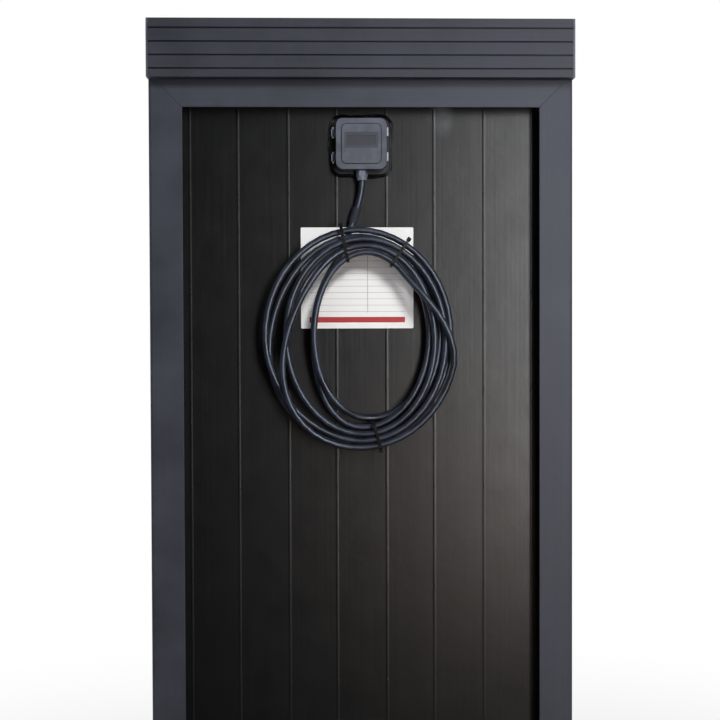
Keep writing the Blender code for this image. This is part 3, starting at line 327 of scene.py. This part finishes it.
def bareMetal(name, dark, light, roughness, stretch):
    look = metalFinish
    material, tree, shader, place = startMaterial(name, roughness, 1.0)
    drawn = addNode(tree, "Mapping", inputs={"Vector": place, "Scale": stretch})
    lines = addNode(tree, "TexNoise", inputs={
        "Vector": drawn.outputs[0], "Scale": perMetre(look["line"]), "Detail": 3})
    tarnish = addNode(tree, "TexNoise", inputs={
        "Vector": place, "Scale": perMetre(look["tarnish"]), "Detail": 4})
    colour = addNode(tree, "Mix", {"data_type": "RGBA"}, {
        0: tarnish.outputs[0], 6: linearColour(dark), 7: linearColour(light)})
    tree.links.new(colour.outputs[2], shader.inputs["Base Color"])
    gloss = addNode(tree, "MapRange", inputs={
        "Value": tarnish.outputs[0], "To Min": roughness + look["gloss"][0],
        "To Max": roughness + look["gloss"][1]})
    tree.links.new(gloss.outputs[0], shader.inputs["Roughness"])
    bump = addNode(tree, "Bump", inputs={
        "Height": lines.outputs[0], "Strength": look["bump"][0], "Distance": look["bump"][1] * mm})
    tree.links.new(bump.outputs[0], shader.inputs["Normal"])
    return material


# Monocrystalline silicon with a blue nitride coat that takes its mirror away: deep navy, silver
# ribbons down each cell, and fine printed fingers across it, drawn wider than life so that they show.
cellFinish = {
    "roughness": 0.3, "ior": 1.3, "dark": "#0A0F1F", "light": "#13203C", "tint": 90, "silver": "#8F959C",
    "pitch": 127, "ribbonAt": 32.5, "ribbonWide": 2.0,
    "finger": 2.4, "fingerWide": 0.3, "fingerShare": 0.12,
}


def siliconCells():
    look = cellFinish
    material, tree, shader, place = startMaterial(
        "monocrystalline_silicon", look["roughness"], ior=look["ior"])
    axes = addNode(tree, "SeparateXYZ", inputs={0: place})
    tint = addNode(tree, "TexNoise", inputs={
        "Vector": place, "Scale": perMetre(look["tint"]), "Detail": 3})
    colour = addNode(tree, "Mix", {"data_type": "RGBA"}, {
        0: tint.outputs[0], 6: linearColour(look["dark"]), 7: linearColour(look["light"])})
    across = addNode(tree, "Math", {"operation": "ABSOLUTE"}, {0: axes.outputs["X"]})
    folded = addNode(tree, "Math", {"operation": "PINGPONG"}, {
        0: across.outputs[0], 1: look["pitch"] / 2 * mm})
    ribbon = addNode(tree, "Math", {"operation": "COMPARE"}, {
        0: folded.outputs[0], 1: look["ribbonAt"] * mm, 2: look["ribbonWide"] / 2 * mm})
    along = addNode(tree, "Math", {"operation": "PINGPONG"}, {
        0: axes.outputs["Z"], 1: look["finger"] / 2 * mm})
    finger = addNode(tree, "Math", {"operation": "LESS_THAN"}, {
        0: along.outputs[0], 1: look["fingerWide"] / 2 * mm})
    faint = addNode(tree, "Math", {"operation": "MULTIPLY"}, {
        0: finger.outputs[0], 1: look["fingerShare"]})
    silvered = addNode(tree, "Math", {"operation": "MAXIMUM"}, {
        0: ribbon.outputs[0], 1: faint.outputs[0]})
    printed = addNode(tree, "Mix", {"data_type": "RGBA"}, {
        0: silvered.outputs[0], 6: colour.outputs[2], 7: linearColour(look["silver"])})
    tree.links.new(printed.outputs[2], shader.inputs["Base Color"])
    return material


# Low-iron tempered glass with an anti-reflection etch, and cured encapsulant bonded behind it: clear,
# with a rolled surface that softens reflections, of which hardly any come from the bonded faces.
clearFinish = {"bump": (0.05, 0.02)}


def clearSheet(name, colour, roughness, ior, roll):
    look = clearFinish
    material, tree, shader, place = startMaterial(name, roughness, ior=ior)
    shader.inputs["Base Color"].default_value = linearColour(colour)
    shader.inputs["Transmission Weight"].default_value = 1.0
    rolled = addNode(tree, "TexNoise", inputs={"Vector": place, "Scale": perMetre(roll), "Detail": 2})
    bump = addNode(tree, "Bump", inputs={
        "Height": rolled.outputs[0], "Strength": look["bump"][0], "Distance": look["bump"][1] * mm})
    tree.links.new(bump.outputs[0], shader.inputs["Normal"])
    return material


# Printed polyester label: warm white satin, with a red bar along its foot and grey ruled rows.
labelFinish = {
    "roughness": 0.45, "ior": 1.57, "fibre": 45,
    "white": "#FAFAF9", "warm": "#F4F2ED", "red": "#B3272B", "grey": "#A7A7A6",
    "bar": (-5.5, 284.5, 62, 3.6),                  # middle x, z, half width, half height
    "rules": (-5.5, 331, 62, 37), "ruleStep": 8.2, "ruleWide": 0.45,
    "divide": (8, 331, 0.35, 37),
}


def printedLabel():
    look = labelFinish
    material, tree, shader, place = startMaterial(
        "printed_polyester_label", look["roughness"], ior=look["ior"])
    axes = addNode(tree, "SeparateXYZ", inputs={0: place})
    fibre = addNode(tree, "TexNoise", inputs={
        "Vector": place, "Scale": perMetre(look["fibre"]), "Detail": 4})
    colour = addNode(tree, "Mix", {"data_type": "RGBA"}, {
        0: fibre.outputs[0], 6: linearColour(look["white"]), 7: linearColour(look["warm"])})
    masks = {}
    for key in ("bar", "rules", "divide"):
        x, z, halfWide, halfTall = look[key]
        inX = addNode(tree, "Math", {"operation": "COMPARE"}, {
            0: axes.outputs["X"], 1: x * mm, 2: halfWide * mm})
        inZ = addNode(tree, "Math", {"operation": "COMPARE"}, {
            0: axes.outputs["Z"], 1: z * mm, 2: halfTall * mm})
        masks[key] = addNode(tree, "Math", {"operation": "MULTIPLY"}, {
            0: inX.outputs[0], 1: inZ.outputs[0]}).outputs[0]
    rows = addNode(tree, "Math", {"operation": "PINGPONG"}, {
        0: axes.outputs["Z"], 1: look["ruleStep"] / 2 * mm})
    rule = addNode(tree, "Math", {"operation": "LESS_THAN"}, {
        0: rows.outputs[0], 1: look["ruleWide"] / 2 * mm})
    ruled = addNode(tree, "Math", {"operation": "MULTIPLY"}, {0: rule.outputs[0], 1: masks["rules"]})
    lines = addNode(tree, "Math", {"operation": "MAXIMUM"}, {0: ruled.outputs[0], 1: masks["divide"]})
    greyed = addNode(tree, "Mix", {"data_type": "RGBA"}, {
        0: lines.outputs[0], 6: colour.outputs[2], 7: linearColour(look["grey"])})
    barred = addNode(tree, "Mix", {"data_type": "RGBA"}, {
        0: masks["bar"], 6: greyed.outputs[2], 7: linearColour(look["red"])})
    tree.links.new(barred.outputs[2], shader.inputs["Base Color"])
    return material


# toned blocks of the lid and the box
lidBlocks = [
    ((-26.4, 19.75, 482.8), (26.4, 20.9, 535.6), "#23262C"),   # shaded floor of the groove
    ((-39.5, 25, 480), (-37.3, 40, 540), "#A0A6B0"),           # hinge eyes, painted highlight on their outside
    ((-21.7, 10, 503.5), (21.7, 20.7, 523.9), "#3A3E47"),      # etched border of the bare recess
    ((-18.7, 10, 507.0), (18.7, 20.7, 520.4), "#31343B"),      # and its floor
    ((32.9, 10, 480), (40, 27, 540), "#B2B7C0"),               # latch tabs, painted highlight
]
boxBlocks = [
    ((-60, 36.2, 440), (60, 45, 580), "#0C0D0E"),              # foot, painted shade
    ((-37.8, 25, 480), (-34.4, 36, 540), "#8E949F"),           # hinge ears, painted highlight
]
finishes = {
    "frameLong": anodisedAluminium("anodised_aluminium_long", "#383B44", "#474A54", False),
    "frameCross": anodisedAluminium("anodised_aluminium_cross", "#3A3D46", "#494C56", True),
    "spoiler": anodisedAluminium("anodised_aluminium_spoiler", "#31343C", "#3F424B", True, True),
    "film": backsheetFilm("polyester_backsheet_film", "#050607", "#0C0D0E", 0.375, 1.57),
    # a paler copy of the film: painted highlight for the ridges and solder bumps
    "stretchedFilmPaintedHighlight": backsheetFilm("stretched_polyester_film_painted_highlight", "#0F1011", "#161718", 0.37, 1.51),
    "lid": mouldedPlastic("moulded_polyphenylene_lid", "#434751", "#545965", 0.46, 0.7, lidBlocks),
    "box": mouldedPlastic("moulded_polyphenylene_box", "#4A4E59", "#5A5F6B", 0.46, 0.7, boxBlocks),
    "diode": mouldedPlastic("moulded_epoxy", "#121315", "#1C1D20", 0.5, 0.5),
    "nylon": mouldedPlastic("moulded_nylon", "#5A5E69", "#6B707C", 0.42, 0.6),
    "tie": mouldedPlastic("weathering_nylon_tie", "#0A0B0D", "#131518", 0.26, 0.6),
    "cap": mouldedPlastic("moulded_asa_cap", "#44474F", "#53565F", 0.46, 0.8),
    "sheath": cableSheath(),
    "bead": siliconeRubber("cured_silicone", "#0B0B0C", "#141416", 0.22, 6),
    "rubber": siliconeRubber("moulded_rubber", "#121213", "#1D1D1F", 0.6, 2),
    "sleeve": siliconeRubber("shrink_sleeve", "#23262C", "#32363F", 0.42, 3),
    "redCore": mouldedPlastic("red_core_insulation", "#8E1F1F", "#A82B27", 0.45, 0.8),
    "blackCore": mouldedPlastic("black_core_insulation", "#161618", "#222226", 0.45, 0.8),
    "mill": bareMetal("mill_aluminium", "#9A9DA1", "#B7B9BD", 0.42, (1, 1, 0.02)),
    "steel": bareMetal("zinc_plated_steel", "#8E9093", "#B5B7BA", 0.36, (1, 1, 1)),
    "tin": bareMetal("tinned_copper", "#B9B6AE", "#CFCCC4", 0.32, (1, 1, 0.03)),
    "copper": bareMetal("bare_copper_strand", "#A65A36", "#C97C50", 0.35, (1, 1, 0.2)),
    "cells": siliconCells(),
    "glass": clearSheet("low_iron_glass", "#F4FAF8", 0.14, 1.32, 1.4),
    "encapsulant": clearSheet("cured_encapsulant", "#FBFBF9", 0.1, 1.05, 3),
    "label": printedLabel(),
}
nodeFinishes = {
    "frame_rail_left": "frameLong", "frame_rail_right": "frameLong",
    "frame_rail_top": "frameCross", "frame_rail_bottom": "frameCross",
    "spoiler_cap": "cap", "spoiler_screw": "steel", "spoiler_top": "spoiler",
    "spoiler_bottom": "spoiler", "corner_key": "mill", "backsheet": "film",
    "bus_ribbon": "tin", "output_ribbon": "tin", "terminal_carrier": "box", "terminal": "tin",
    "bypass_diode": "diode", "cable_tie": "tie", "cell_string": "cells", "core_minus": "blackCore",
    "core_plus": "redCore", "edge_seal": "rubber", "front_encapsulant": "encapsulant",
    "rear_encapsulant": "encapsulant", "front_glass": "glass", "gland_nut": "nylon",
    "gland_seal": "rubber", "junction_box_base": "box", "junction_box_lid": "lid",
    "lead_sleeve": "sleeve", "lid_gasket": "rubber", "rating_label": "label",
    "silicone_bead": "bead", "cable_": "sheath",
}
for name, node in nodes.items():
    key = next(k for k in nodeFinishes if name.startswith(k))
    node.data.materials.clear()
    node.data.materials.append(finishes[nodeFinishes[key]])
print("materials on", len(nodes), "nodes")


# helpers for the new pieces

def addPiece(name, data, finish):
    piece = bpy.data.objects.new(name, data)
    scene.collection.objects.link(piece)
    piece.data.materials.append(finishes[finish])
    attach(piece, "panel")
    return piece


def meshFrom(build, name):
    mesh = bpy.data.meshes.new(name)
    build.to_mesh(mesh)
    build.free()
    for face in mesh.polygons:
        face.use_smooth = True
    return mesh


def tubeCurve(name, path, radius, fineness):
    curve = bpy.data.curves.new(name, "CURVE")
    curve.dimensions = "3D"
    curve.bevel_depth = radius * mm
    curve.bevel_resolution = fineness
    curve.use_fill_caps = True
    spline = curve.splines.new("POLY")
    spline.points.add(len(path) - 1)
    for point, place in zip(spline.points, path):
        point.co = (*place, 1)
    return curve


def tubeMesh(curve):
    holder = bpy.data.objects.new(curve.name, curve)
    mesh = bpy.data.meshes.new_from_object(holder)
    bpy.data.objects.remove(holder)
    for face in mesh.polygons:
        face.use_smooth = True
    return mesh


def smoothThrough(points, steps):
    # Catmull-Rom through the points, of which the first only steers
    out = []
    for i in range(1, len(points) - 1):
        a, b, c = points[i - 1], points[i], points[i + 1]
        d = points[i + 2] if i + 2 < len(points) else c * 2 - b
        for k in range(steps):
            t = k / steps
            out.append(0.5 * (2 * b + (c - a) * t + (2 * a - 5 * b + 4 * c - d) * t ** 2
                              + (3 * b - a - 3 * c + d) * t ** 3))
    return out


def ease(t):
    t = min(max(t, 0), 1)
    return t * t * (3 - 2 * t)


def passed(t, stretch):
    return ease((t - stretch[0]) / (stretch[1] - stretch[0]))


# cable: the lead out of the gland, then the coil in a back and a front layer, in mm from the sheet
cable = {
    "diameter": 8, "fineness": 5, "pointsPerTurn": 48, "leadSteps": 4,
    "startAngle": 165, "turnsOut": 2.79, "turnsClimb": 0.5, "turnsIn": 2.81, "turnsTail": 0.34,
    "inner": (78, 114), "outer": (122.2, 137.8),                      # half width and half height of a turn
    "innerX": 1.2, "outerX": -4.4, "middleZ": 261.8, "frontShift": (3, -1.5),
    "backLayer": 15.4, "layerStep": 8.8, "tailLayer": 4.9,
    "joinAt": 32, "joinLead": 12, "easeRounds": 30, "easeReach": 13,
    "climbEnd": 3.09, "frontLane": 2.05, "settle": (3.03, 3.27),      # places in turns from the start
    "crossLanes": 3, "crossOut": (4.90, 5.27), "crossBack": (5.49, 5.675), "hump": 9,
    "humps": ((4.84, 4.96, 5.14, 5.30), (5.455, 5.545, 5.60, 5.705)),
    "bulge": 0.62, "bulgeAt": 2.17, "bulgeReach": 0.24,
    "tailIn": -0.5, "tailInAt": (0, 0.5), "tailOut": 1.55, "tailOutAt": (0.55, 1),     # shares of the tail
    "tailDropAt": (0.15, 0.65),
    "lead": [
        (0.9, 10.5, 491.2), (0.9, 10.5, 483.2), (0.9, 10.5, 470.7), (0.9, 10.5, 461.7),
        (-0.7, 9.6, 447), (-5.4, 7.8, 428.5), (-11.4, 6.3, 409.5), (-27, 4.95, 371), (-44, 7, 340),
    ],
}


def coilPoint(turn):
    angle = math.radians(cable["startAngle"]) + 2 * math.pi * turn
    climb = passed(turn, (cable["turnsOut"], cable["climbEnd"]))
    inward = max(turn - cable["turnsOut"] - cable["turnsClimb"], 0)
    tail = (inward - cable["turnsIn"]) / cable["turnsTail"]
    across = min(turn, cable["turnsOut"]) - min(inward, cable["turnsIn"])
    across += (cable["frontLane"] - cable["turnsOut"]) * passed(turn, cable["settle"])
    across += cable["crossLanes"] * (passed(turn, cable["crossOut"]) - passed(turn, cable["crossBack"]))
    across += cable["bulge"] * ease(1 - abs(turn - cable["bulgeAt"]) / cable["bulgeReach"])
    height = cable["backLayer"] + cable["layerStep"] * climb
    for hump in cable["humps"]:
        height += cable["hump"] * (passed(turn, hump[:2]) - passed(turn, hump[2:]))
    if tail > 0:       # the end goes under the coil
        across += cable["tailIn"] * passed(tail, cable["tailInAt"])
        across += cable["tailOut"] * passed(tail, cable["tailOutAt"])
        drop = cable["tailLayer"] - cable["backLayer"] - cable["layerStep"]
        height += drop * passed(tail, cable["tailDropAt"])
    share = across / cable["turnsOut"]
    wide, tall = (a + (b - a) * share for a, b in zip(cable["inner"], cable["outer"]))
    middleX = cable["innerX"] + (cable["outerX"] - cable["innerX"]) * share
    middleX += cable["frontShift"][0] * climb
    middleZ = cable["middleZ"] + cable["frontShift"][1] * climb
    return Vector((middleX + wide * math.cos(angle), height, middleZ + tall * math.sin(angle)))


def inPanel(point):
    return Vector((point[0], sheetY - point[1], point[2])) * mm


coilStart = coilPoint(0)
heading = (coilPoint(1 / cable["joinAt"]) - coilStart).normalized()
coilTurns = sum(cable[k] for k in ("turnsOut", "turnsClimb", "turnsIn", "turnsTail"))
leadRoute = [Vector(p) for p in cable["lead"]] + [coilStart - heading * cable["joinLead"]]
cablePath = smoothThrough(leadRoute + [coilStart], cable["leadSteps"])
coilCount = round(coilTurns * cable["pointsPerTurn"])
cablePath += [coilPoint(coilTurns * i / coilCount) for i in range(coilCount + 1)]
leadEnd = len(cablePath) - coilCount - 1
for _ in range(cable["easeRounds"]):       # ease the bend where the lead joins the coil
    for i in range(leadEnd - cable["easeReach"], leadEnd + cable["easeReach"]):
        middle = (cablePath[i - 1] + cablePath[i + 1]) / 2
        cablePath[i] = cablePath[i].lerp(middle, ease(1 - abs(i - leadEnd) / cable["easeReach"]))
cablePath = [inPanel(p) for p in cablePath]
cableCurve = tubeCurve("solar_cable", cablePath, cable["diameter"] / 2, cable["fineness"])
solarCable = addPiece("solar_cable", cableCurve, "sheath")
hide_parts("cable_lead", "cable_coil")


# stripped cores at the cable's far end, each a bent insulated core with a bare tip
endCores = {
    "spread": 1.7, "spreadFrom": 0.8, "spreadGrows": 0.9, "steps": 5, "tuck": 1,
    "radius": 1.3, "insulated": 13, "fineness": 4, "strand": 0.9, "bare": 6, "strandFineness": 3,
    "cores": ((-1, "redCore", "red_core", "red"), (1, "blackCore", "black_rubber", "black")),
}
cableEnd = cablePath[-1]
ahead = (cablePath[-1] - cablePath[-2]).normalized()
aside = Vector((ahead.z, 0, -ahead.x))
reach = endCores["insulated"] * mm
tuck = endCores["tuck"] * mm
for sign, finish, slot, label in endCores["cores"]:
    spread = aside * sign * endCores["spread"] * mm
    path = []
    for i in range(endCores["steps"] + 1):
        t = i / endCores["steps"]
        flare = endCores["spreadFrom"] + endCores["spreadGrows"] * ease(t)
        path.append(cableEnd + spread * flare + ahead * (reach * t - tuck))
    core = tubeMesh(tubeCurve("core", path, endCores["radius"], endCores["fineness"]))
    addPiece(f"end_core_{label}", core, finish)
    tip = [path[-1] - ahead * tuck, path[-1] + ahead * endCores["bare"] * mm]
    strand = tubeMesh(tubeCurve("strand", tip, endCores["strand"], endCores["strandFineness"]))
    addPiece(f"end_strand_{label}", strand, "copper")
print("cable end stripped")


# silicone squeezed out round the box's foot: a main rope and a thinner smeared one outside it
bead = {
    "middle": (0, 509.2), "foot": (74, 73), "corner": 12, "cornerPoints": 10, "sidePoints": 14, "fineness": 4,
    "waves": ((3, 0.6, 1), (7, 2.1, 0.7), (17, 0, 0.4)),       # waves round the foot, phase, share
    "swells": ((5, 1, 0.12), (13, 0, 0.08)), "inward": 0.5,
    "ropes": [
        {"radius": 1.7, "out": 1.3, "height": 1.1, "wave": 0.35},
        {"radius": 0.95, "out": 3.5, "height": 0.5, "wave": 0.8},
    ],
}


def roundedLoop(wide, tall, corner, middle):
    out = []
    for quarter, (signX, signZ) in enumerate(((1, 1), (-1, 1), (-1, -1), (1, -1))):
        x = middle[0] + signX * (wide / 2 - corner)
        z = middle[1] + signZ * (tall / 2 - corner)
        arc = []
        for i in range(bead["cornerPoints"] + 1):
            angle = math.pi / 2 * (quarter + i / bead["cornerPoints"])
            arc.append(Vector((x, 0, z)) + Vector((math.cos(angle), 0, math.sin(angle))) * corner)
        if out:
            out += [out[-1].lerp(arc[0], k / bead["sidePoints"]) for k in range(1, bead["sidePoints"])]
        out += arc
    return out + [out[-1].lerp(out[0], k / bead["sidePoints"]) for k in range(1, bead["sidePoints"])]


def sumOfWaves(waves, t):
    return sum(share * math.sin(count * t + phase) for count, phase, share in waves)


def ropeMesh(name, rope):
    wide, tall = (side + 2 * rope["out"] for side in bead["foot"])
    loop = roundedLoop(wide, tall, bead["corner"] + rope["out"], bead["middle"])
    middle = Vector((bead["middle"][0], 0, bead["middle"][1]))
    turns = [2 * math.pi * i / len(loop) for i in range(len(loop))]
    path = []
    for place, t in zip(loop, turns):
        wave = max(sumOfWaves(bead["waves"], t) * rope["wave"], -bead["inward"] * rope["out"])
        place = place + (place - middle).normalized() * wave
        path.append((place.x * mm, (sheetY - rope["height"]) * mm, place.z * mm))
    curve = tubeCurve(name, path, rope["radius"], bead["fineness"])
    curve.splines[0].use_cyclic_u = True
    for point, t in zip(curve.splines[0].points, turns):
        point.radius = 1 + sumOfWaves(bead["swells"], t)
    return tubeMesh(curve)


build = bmesh.new()
for i, rope in enumerate(bead["ropes"]):
    build.from_mesh(ropeMesh(f"rope_{i}", rope))
siliconeRope = addPiece("silicone_rope", meshFrom(build, "silicone_rope"), "bead")
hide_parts("silicone_bead")
print("silicone laid round the foot")


# the film drawn softly over each ribbon: a low rounded ridge, feathered into the sheet
ridges = {
    "ribbons": (32.5, 94.5, 159.5, 221.5), "halfWide": 3.0, "height": 0.3, "steps": 12,
    "skin": 40.05, "below": 0.05, "end": 570, "sharp": 40,
}
ribbonPlaces = [x * side for x in ridges["ribbons"] for side in (-1, 1)]
build = bmesh.new()
for x in ribbonPlaces:
    section = []
    for i in range(ridges["steps"] + 1):
        across = 2 * i / ridges["steps"] - 1
        rise = ridges["height"] * math.cos(math.pi / 2 * across) ** 2 - ridges["below"]
        place = Vector((x + across * ridges["halfWide"], ridges["skin"] - rise, -ridges["end"]))
        section.append(build.verts.new(place * mm))
    foot = build.faces.new(section)
    drawn = bmesh.ops.extrude_face_region(build, geom=[foot], use_keep_orig=True)["geom"]
    bmesh.ops.translate(build, verts=[v for v in drawn if isinstance(v, bmesh.types.BMVert)],
                        vec=(0, 0, 2 * ridges["end"] * mm))
bmesh.ops.recalc_face_normals(build, faces=build.faces)
ridgeMesh = meshFrom(build, "film_ridges")
ridgeMesh.set_sharp_from_angle(angle=math.radians(ridges["sharp"]))
# the ridges take the paler film, a painted highlight
addPiece("film_ridges", ridgeMesh, "stretchedFilmPaintedHighlight")

# solder bumps under the film, where each ribbon dips from one cell's face to the next one's back
bumps = {"first": -441, "pitch": 127, "count": 8, "size": (1.5, 0.3, 2.6), "level": 39.82}
bumpShape = Matrix.Diagonal([s * mm for s in bumps["size"]] + [1])
build = bmesh.new()
for x in ribbonPlaces:
    for k in range(bumps["count"]):
        z = bumps["first"] + bumps["pitch"] * k
        place = Matrix.Translation((x * mm, bumps["level"] * mm, z * mm))
        bmesh.ops.create_uvsphere(build, u_segments=10, v_segments=6, radius=1, matrix=place @ bumpShape)
# the bumps take the paler film too, a painted highlight
addPiece("solder_bumps", meshFrom(build, "solder_bumps"), "stretchedFilmPaintedHighlight")
print("ridges and solder bumps raised")


# soft edges on the moulded and extruded nodes, so that they catch the light
softEdges = {
    "weld": 0.005, "segments": 2, "angle": 40,
    "widths": {
        "junction_box_lid": 0.25, "junction_box_base": 0.3, "gland_nut": 0.5,
        "frame_rail_left": 0.4, "frame_rail_right": 0.4, "frame_rail_top": 0.4, "frame_rail_bottom": 0.4,
    },
}
for name, width in softEdges["widths"].items():
    weld = nodes[name].modifiers.new("weld", "WELD")
    weld.merge_threshold = softEdges["weld"] * mm
    soften = nodes[name].modifiers.new("soften", "BEVEL")
    soften.width = width * mm
    soften.segments = softEdges["segments"]
    soften.limit_method = "ANGLE"
    soften.angle_limit = math.radians(softEdges["angle"])
    soften.harden_normals = False
print("edges softened")


# floor: pale paint, shown as white to the camera, fading in towards the panel's foot
floorSettings = {
    "radius": 3.2, "segments": 96, "drop": 0.0002, "colour": "#EDEDEB",
    "near": 0.7, "far": 2.2, "nearWhite": 0.55,
    "front": 0.015, "turnsWhite": (-0.2, 0.3),       # reflected: dim in front, white behind the panel
}
build = bmesh.new()
bmesh.ops.create_circle(build, cap_ends=True, segments=floorSettings["segments"],
                        radius=floorSettings["radius"],
                        matrix=Matrix.Translation((0, 0, cadLow.z - floorSettings["drop"])))
floorMesh = meshFrom(build, "floor")
floor = bpy.data.objects.new("floor", floorMesh)
scene.collection.objects.link(floor)
floorPaint = bpy.data.materials.new("pale_floor_paint")
floorPaint.use_nodes = True
tree = floorPaint.node_tree
tree.nodes.clear()
rays = addNode(tree, "LightPath")
seen = addNode(tree, "Math", {"operation": "MAXIMUM"}, {
    0: rays.outputs["Is Camera Ray"], 1: rays.outputs["Is Transmission Ray"]})
onFloor = addNode(tree, "TexCoord").outputs["Object"]
away = addNode(tree, "VectorMath", {"operation": "LENGTH"}, {0: onFloor})
fade = addNode(tree, "MapRange", {"interpolation_type": "SMOOTHSTEP"}, {
    "Value": away.outputs["Value"], "From Min": floorSettings["near"], "From Max": floorSettings["far"],
    "To Min": floorSettings["nearWhite"], "To Max": 1.0})
white = addNode(tree, "Math", {"operation": "MULTIPLY"}, {0: fade.outputs[0], 1: seen.outputs[0]})
paint = addNode(tree, "BsdfDiffuse", inputs={"Color": linearColour(floorSettings["colour"])})
glow = addNode(tree, "Emission", inputs={"Color": (1, 1, 1, 1), "Strength": 1.0})
mixed = addNode(tree, "MixShader", inputs={0: white.outputs[0], 1: paint.outputs[0], 2: glow.outputs[0]})
floorAxes = addNode(tree, "SeparateXYZ", inputs={0: onFloor})
behind = addNode(tree, "MapRange", {"interpolation_type": "SMOOTHSTEP"}, {
    "Value": floorAxes.outputs["Y"], "From Min": floorSettings["turnsWhite"][0],
    "From Max": floorSettings["turnsWhite"][1], "To Min": floorSettings["front"], "To Max": 1.0})
mirrored = addNode(tree, "Emission", inputs={"Color": (1, 1, 1, 1), "Strength": behind.outputs[0]})
shown = addNode(tree, "MixShader", inputs={
    0: rays.outputs["Is Glossy Ray"], 1: mixed.outputs[0], 2: mirrored.outputs[0]})
addNode(tree, "OutputMaterial", inputs={"Surface": shown.outputs[0]})
floorMesh.materials.append(floorPaint)


# world: soft grey light, white to the camera, and reflected like the floor
worldSettings = {"soft": "#64676D", "front": 0.015, "backdrop": 1.0, "turnsWhite": (-0.25, 0.35)}
world = bpy.data.worlds.new("studio")
scene.world = world
world.use_nodes = True
tree = world.node_tree
tree.nodes.clear()
rays = addNode(tree, "LightPath")
direct = addNode(tree, "Math", {"operation": "MAXIMUM"}, {
    0: rays.outputs["Is Camera Ray"], 1: rays.outputs["Is Transmission Ray"]})
axes = addNode(tree, "SeparateXYZ", inputs={0: addNode(tree, "TexCoord").outputs["Generated"]})
side = addNode(tree, "MapRange", {"interpolation_type": "SMOOTHSTEP"}, {
    "Value": axes.outputs["Y"], "From Min": worldSettings["turnsWhite"][0],
    "From Max": worldSettings["turnsWhite"][1],
    "To Min": worldSettings["front"], "To Max": worldSettings["backdrop"]})
glossy = addNode(tree, "Mix", {"data_type": "RGBA"}, {
    0: rays.outputs["Is Glossy Ray"], 6: linearColour(worldSettings["soft"]), 7: side.outputs[0]})
seen = addNode(tree, "Mix", {"data_type": "RGBA"}, {
    0: direct.outputs[0], 6: glossy.outputs[2], 7: (1, 1, 1, 1)})
sky = addNode(tree, "Background", inputs={"Color": seen.outputs[2], "Strength": 1.0})
addNode(tree, "OutputWorld", inputs={"Surface": sky.outputs[0]})


# lamps: a key and a fill that no surface mirrors, a strip that gives only sheen, a warm glow, and the front
lamps = {
    "key": {"place": (0.5, -1.3, 1.4), "aim": (0, 0, 0.55), "size": (0.45, 0.45), "power": 27,
            "colour": "#FFFFFF", "mirrored": False},
    "strip": {"place": (0.78, -1.7, 0.47), "aim": (0.1, 0, 0.35), "size": (0.4, 1.55), "power": 22,
              "colour": "#FDFEFF", "sheenOnly": True},
    "fill": {"place": (-1.3, -1.2, 1.5), "aim": (-0.1, 0, 0.6), "size": (1.2, 1.2), "power": 7.5,
             "colour": "#EEF3FF", "mirrored": False},
    "warm": {"place": (0.42, -1.25, -0.12), "aim": (0.2, 0, 0.1), "size": (0.4, 0.6), "power": 0.7,
             "colour": "#FFC08C"},
    "front": {"place": (-0.8, 2.2, 1.2), "aim": (0, 0, 0.1), "size": (1.4, 1.4), "power": 30,
              "colour": "#FFFFFF"},
}
for name, lamp in lamps.items():
    light = bpy.data.lights.new(name, "AREA")
    light.shape = "RECTANGLE"
    light.size, light.size_y = lamp["size"]
    light.energy = lamp["power"]
    light.color = linearColour(lamp["colour"])[:3]
    holder = bpy.data.objects.new(name, light)
    holder.location = lamp["place"]
    toAim = Vector(lamp["aim"]) - Vector(lamp["place"])
    holder.rotation_euler = toAim.to_track_quat("-Z", "Y").to_euler()
    holder.visible_glossy = lamp.get("mirrored", True)
    holder.visible_diffuse = not lamp.get("sheenOnly", False)
    scene.collection.objects.link(holder)
print("floor, world and lamps set")
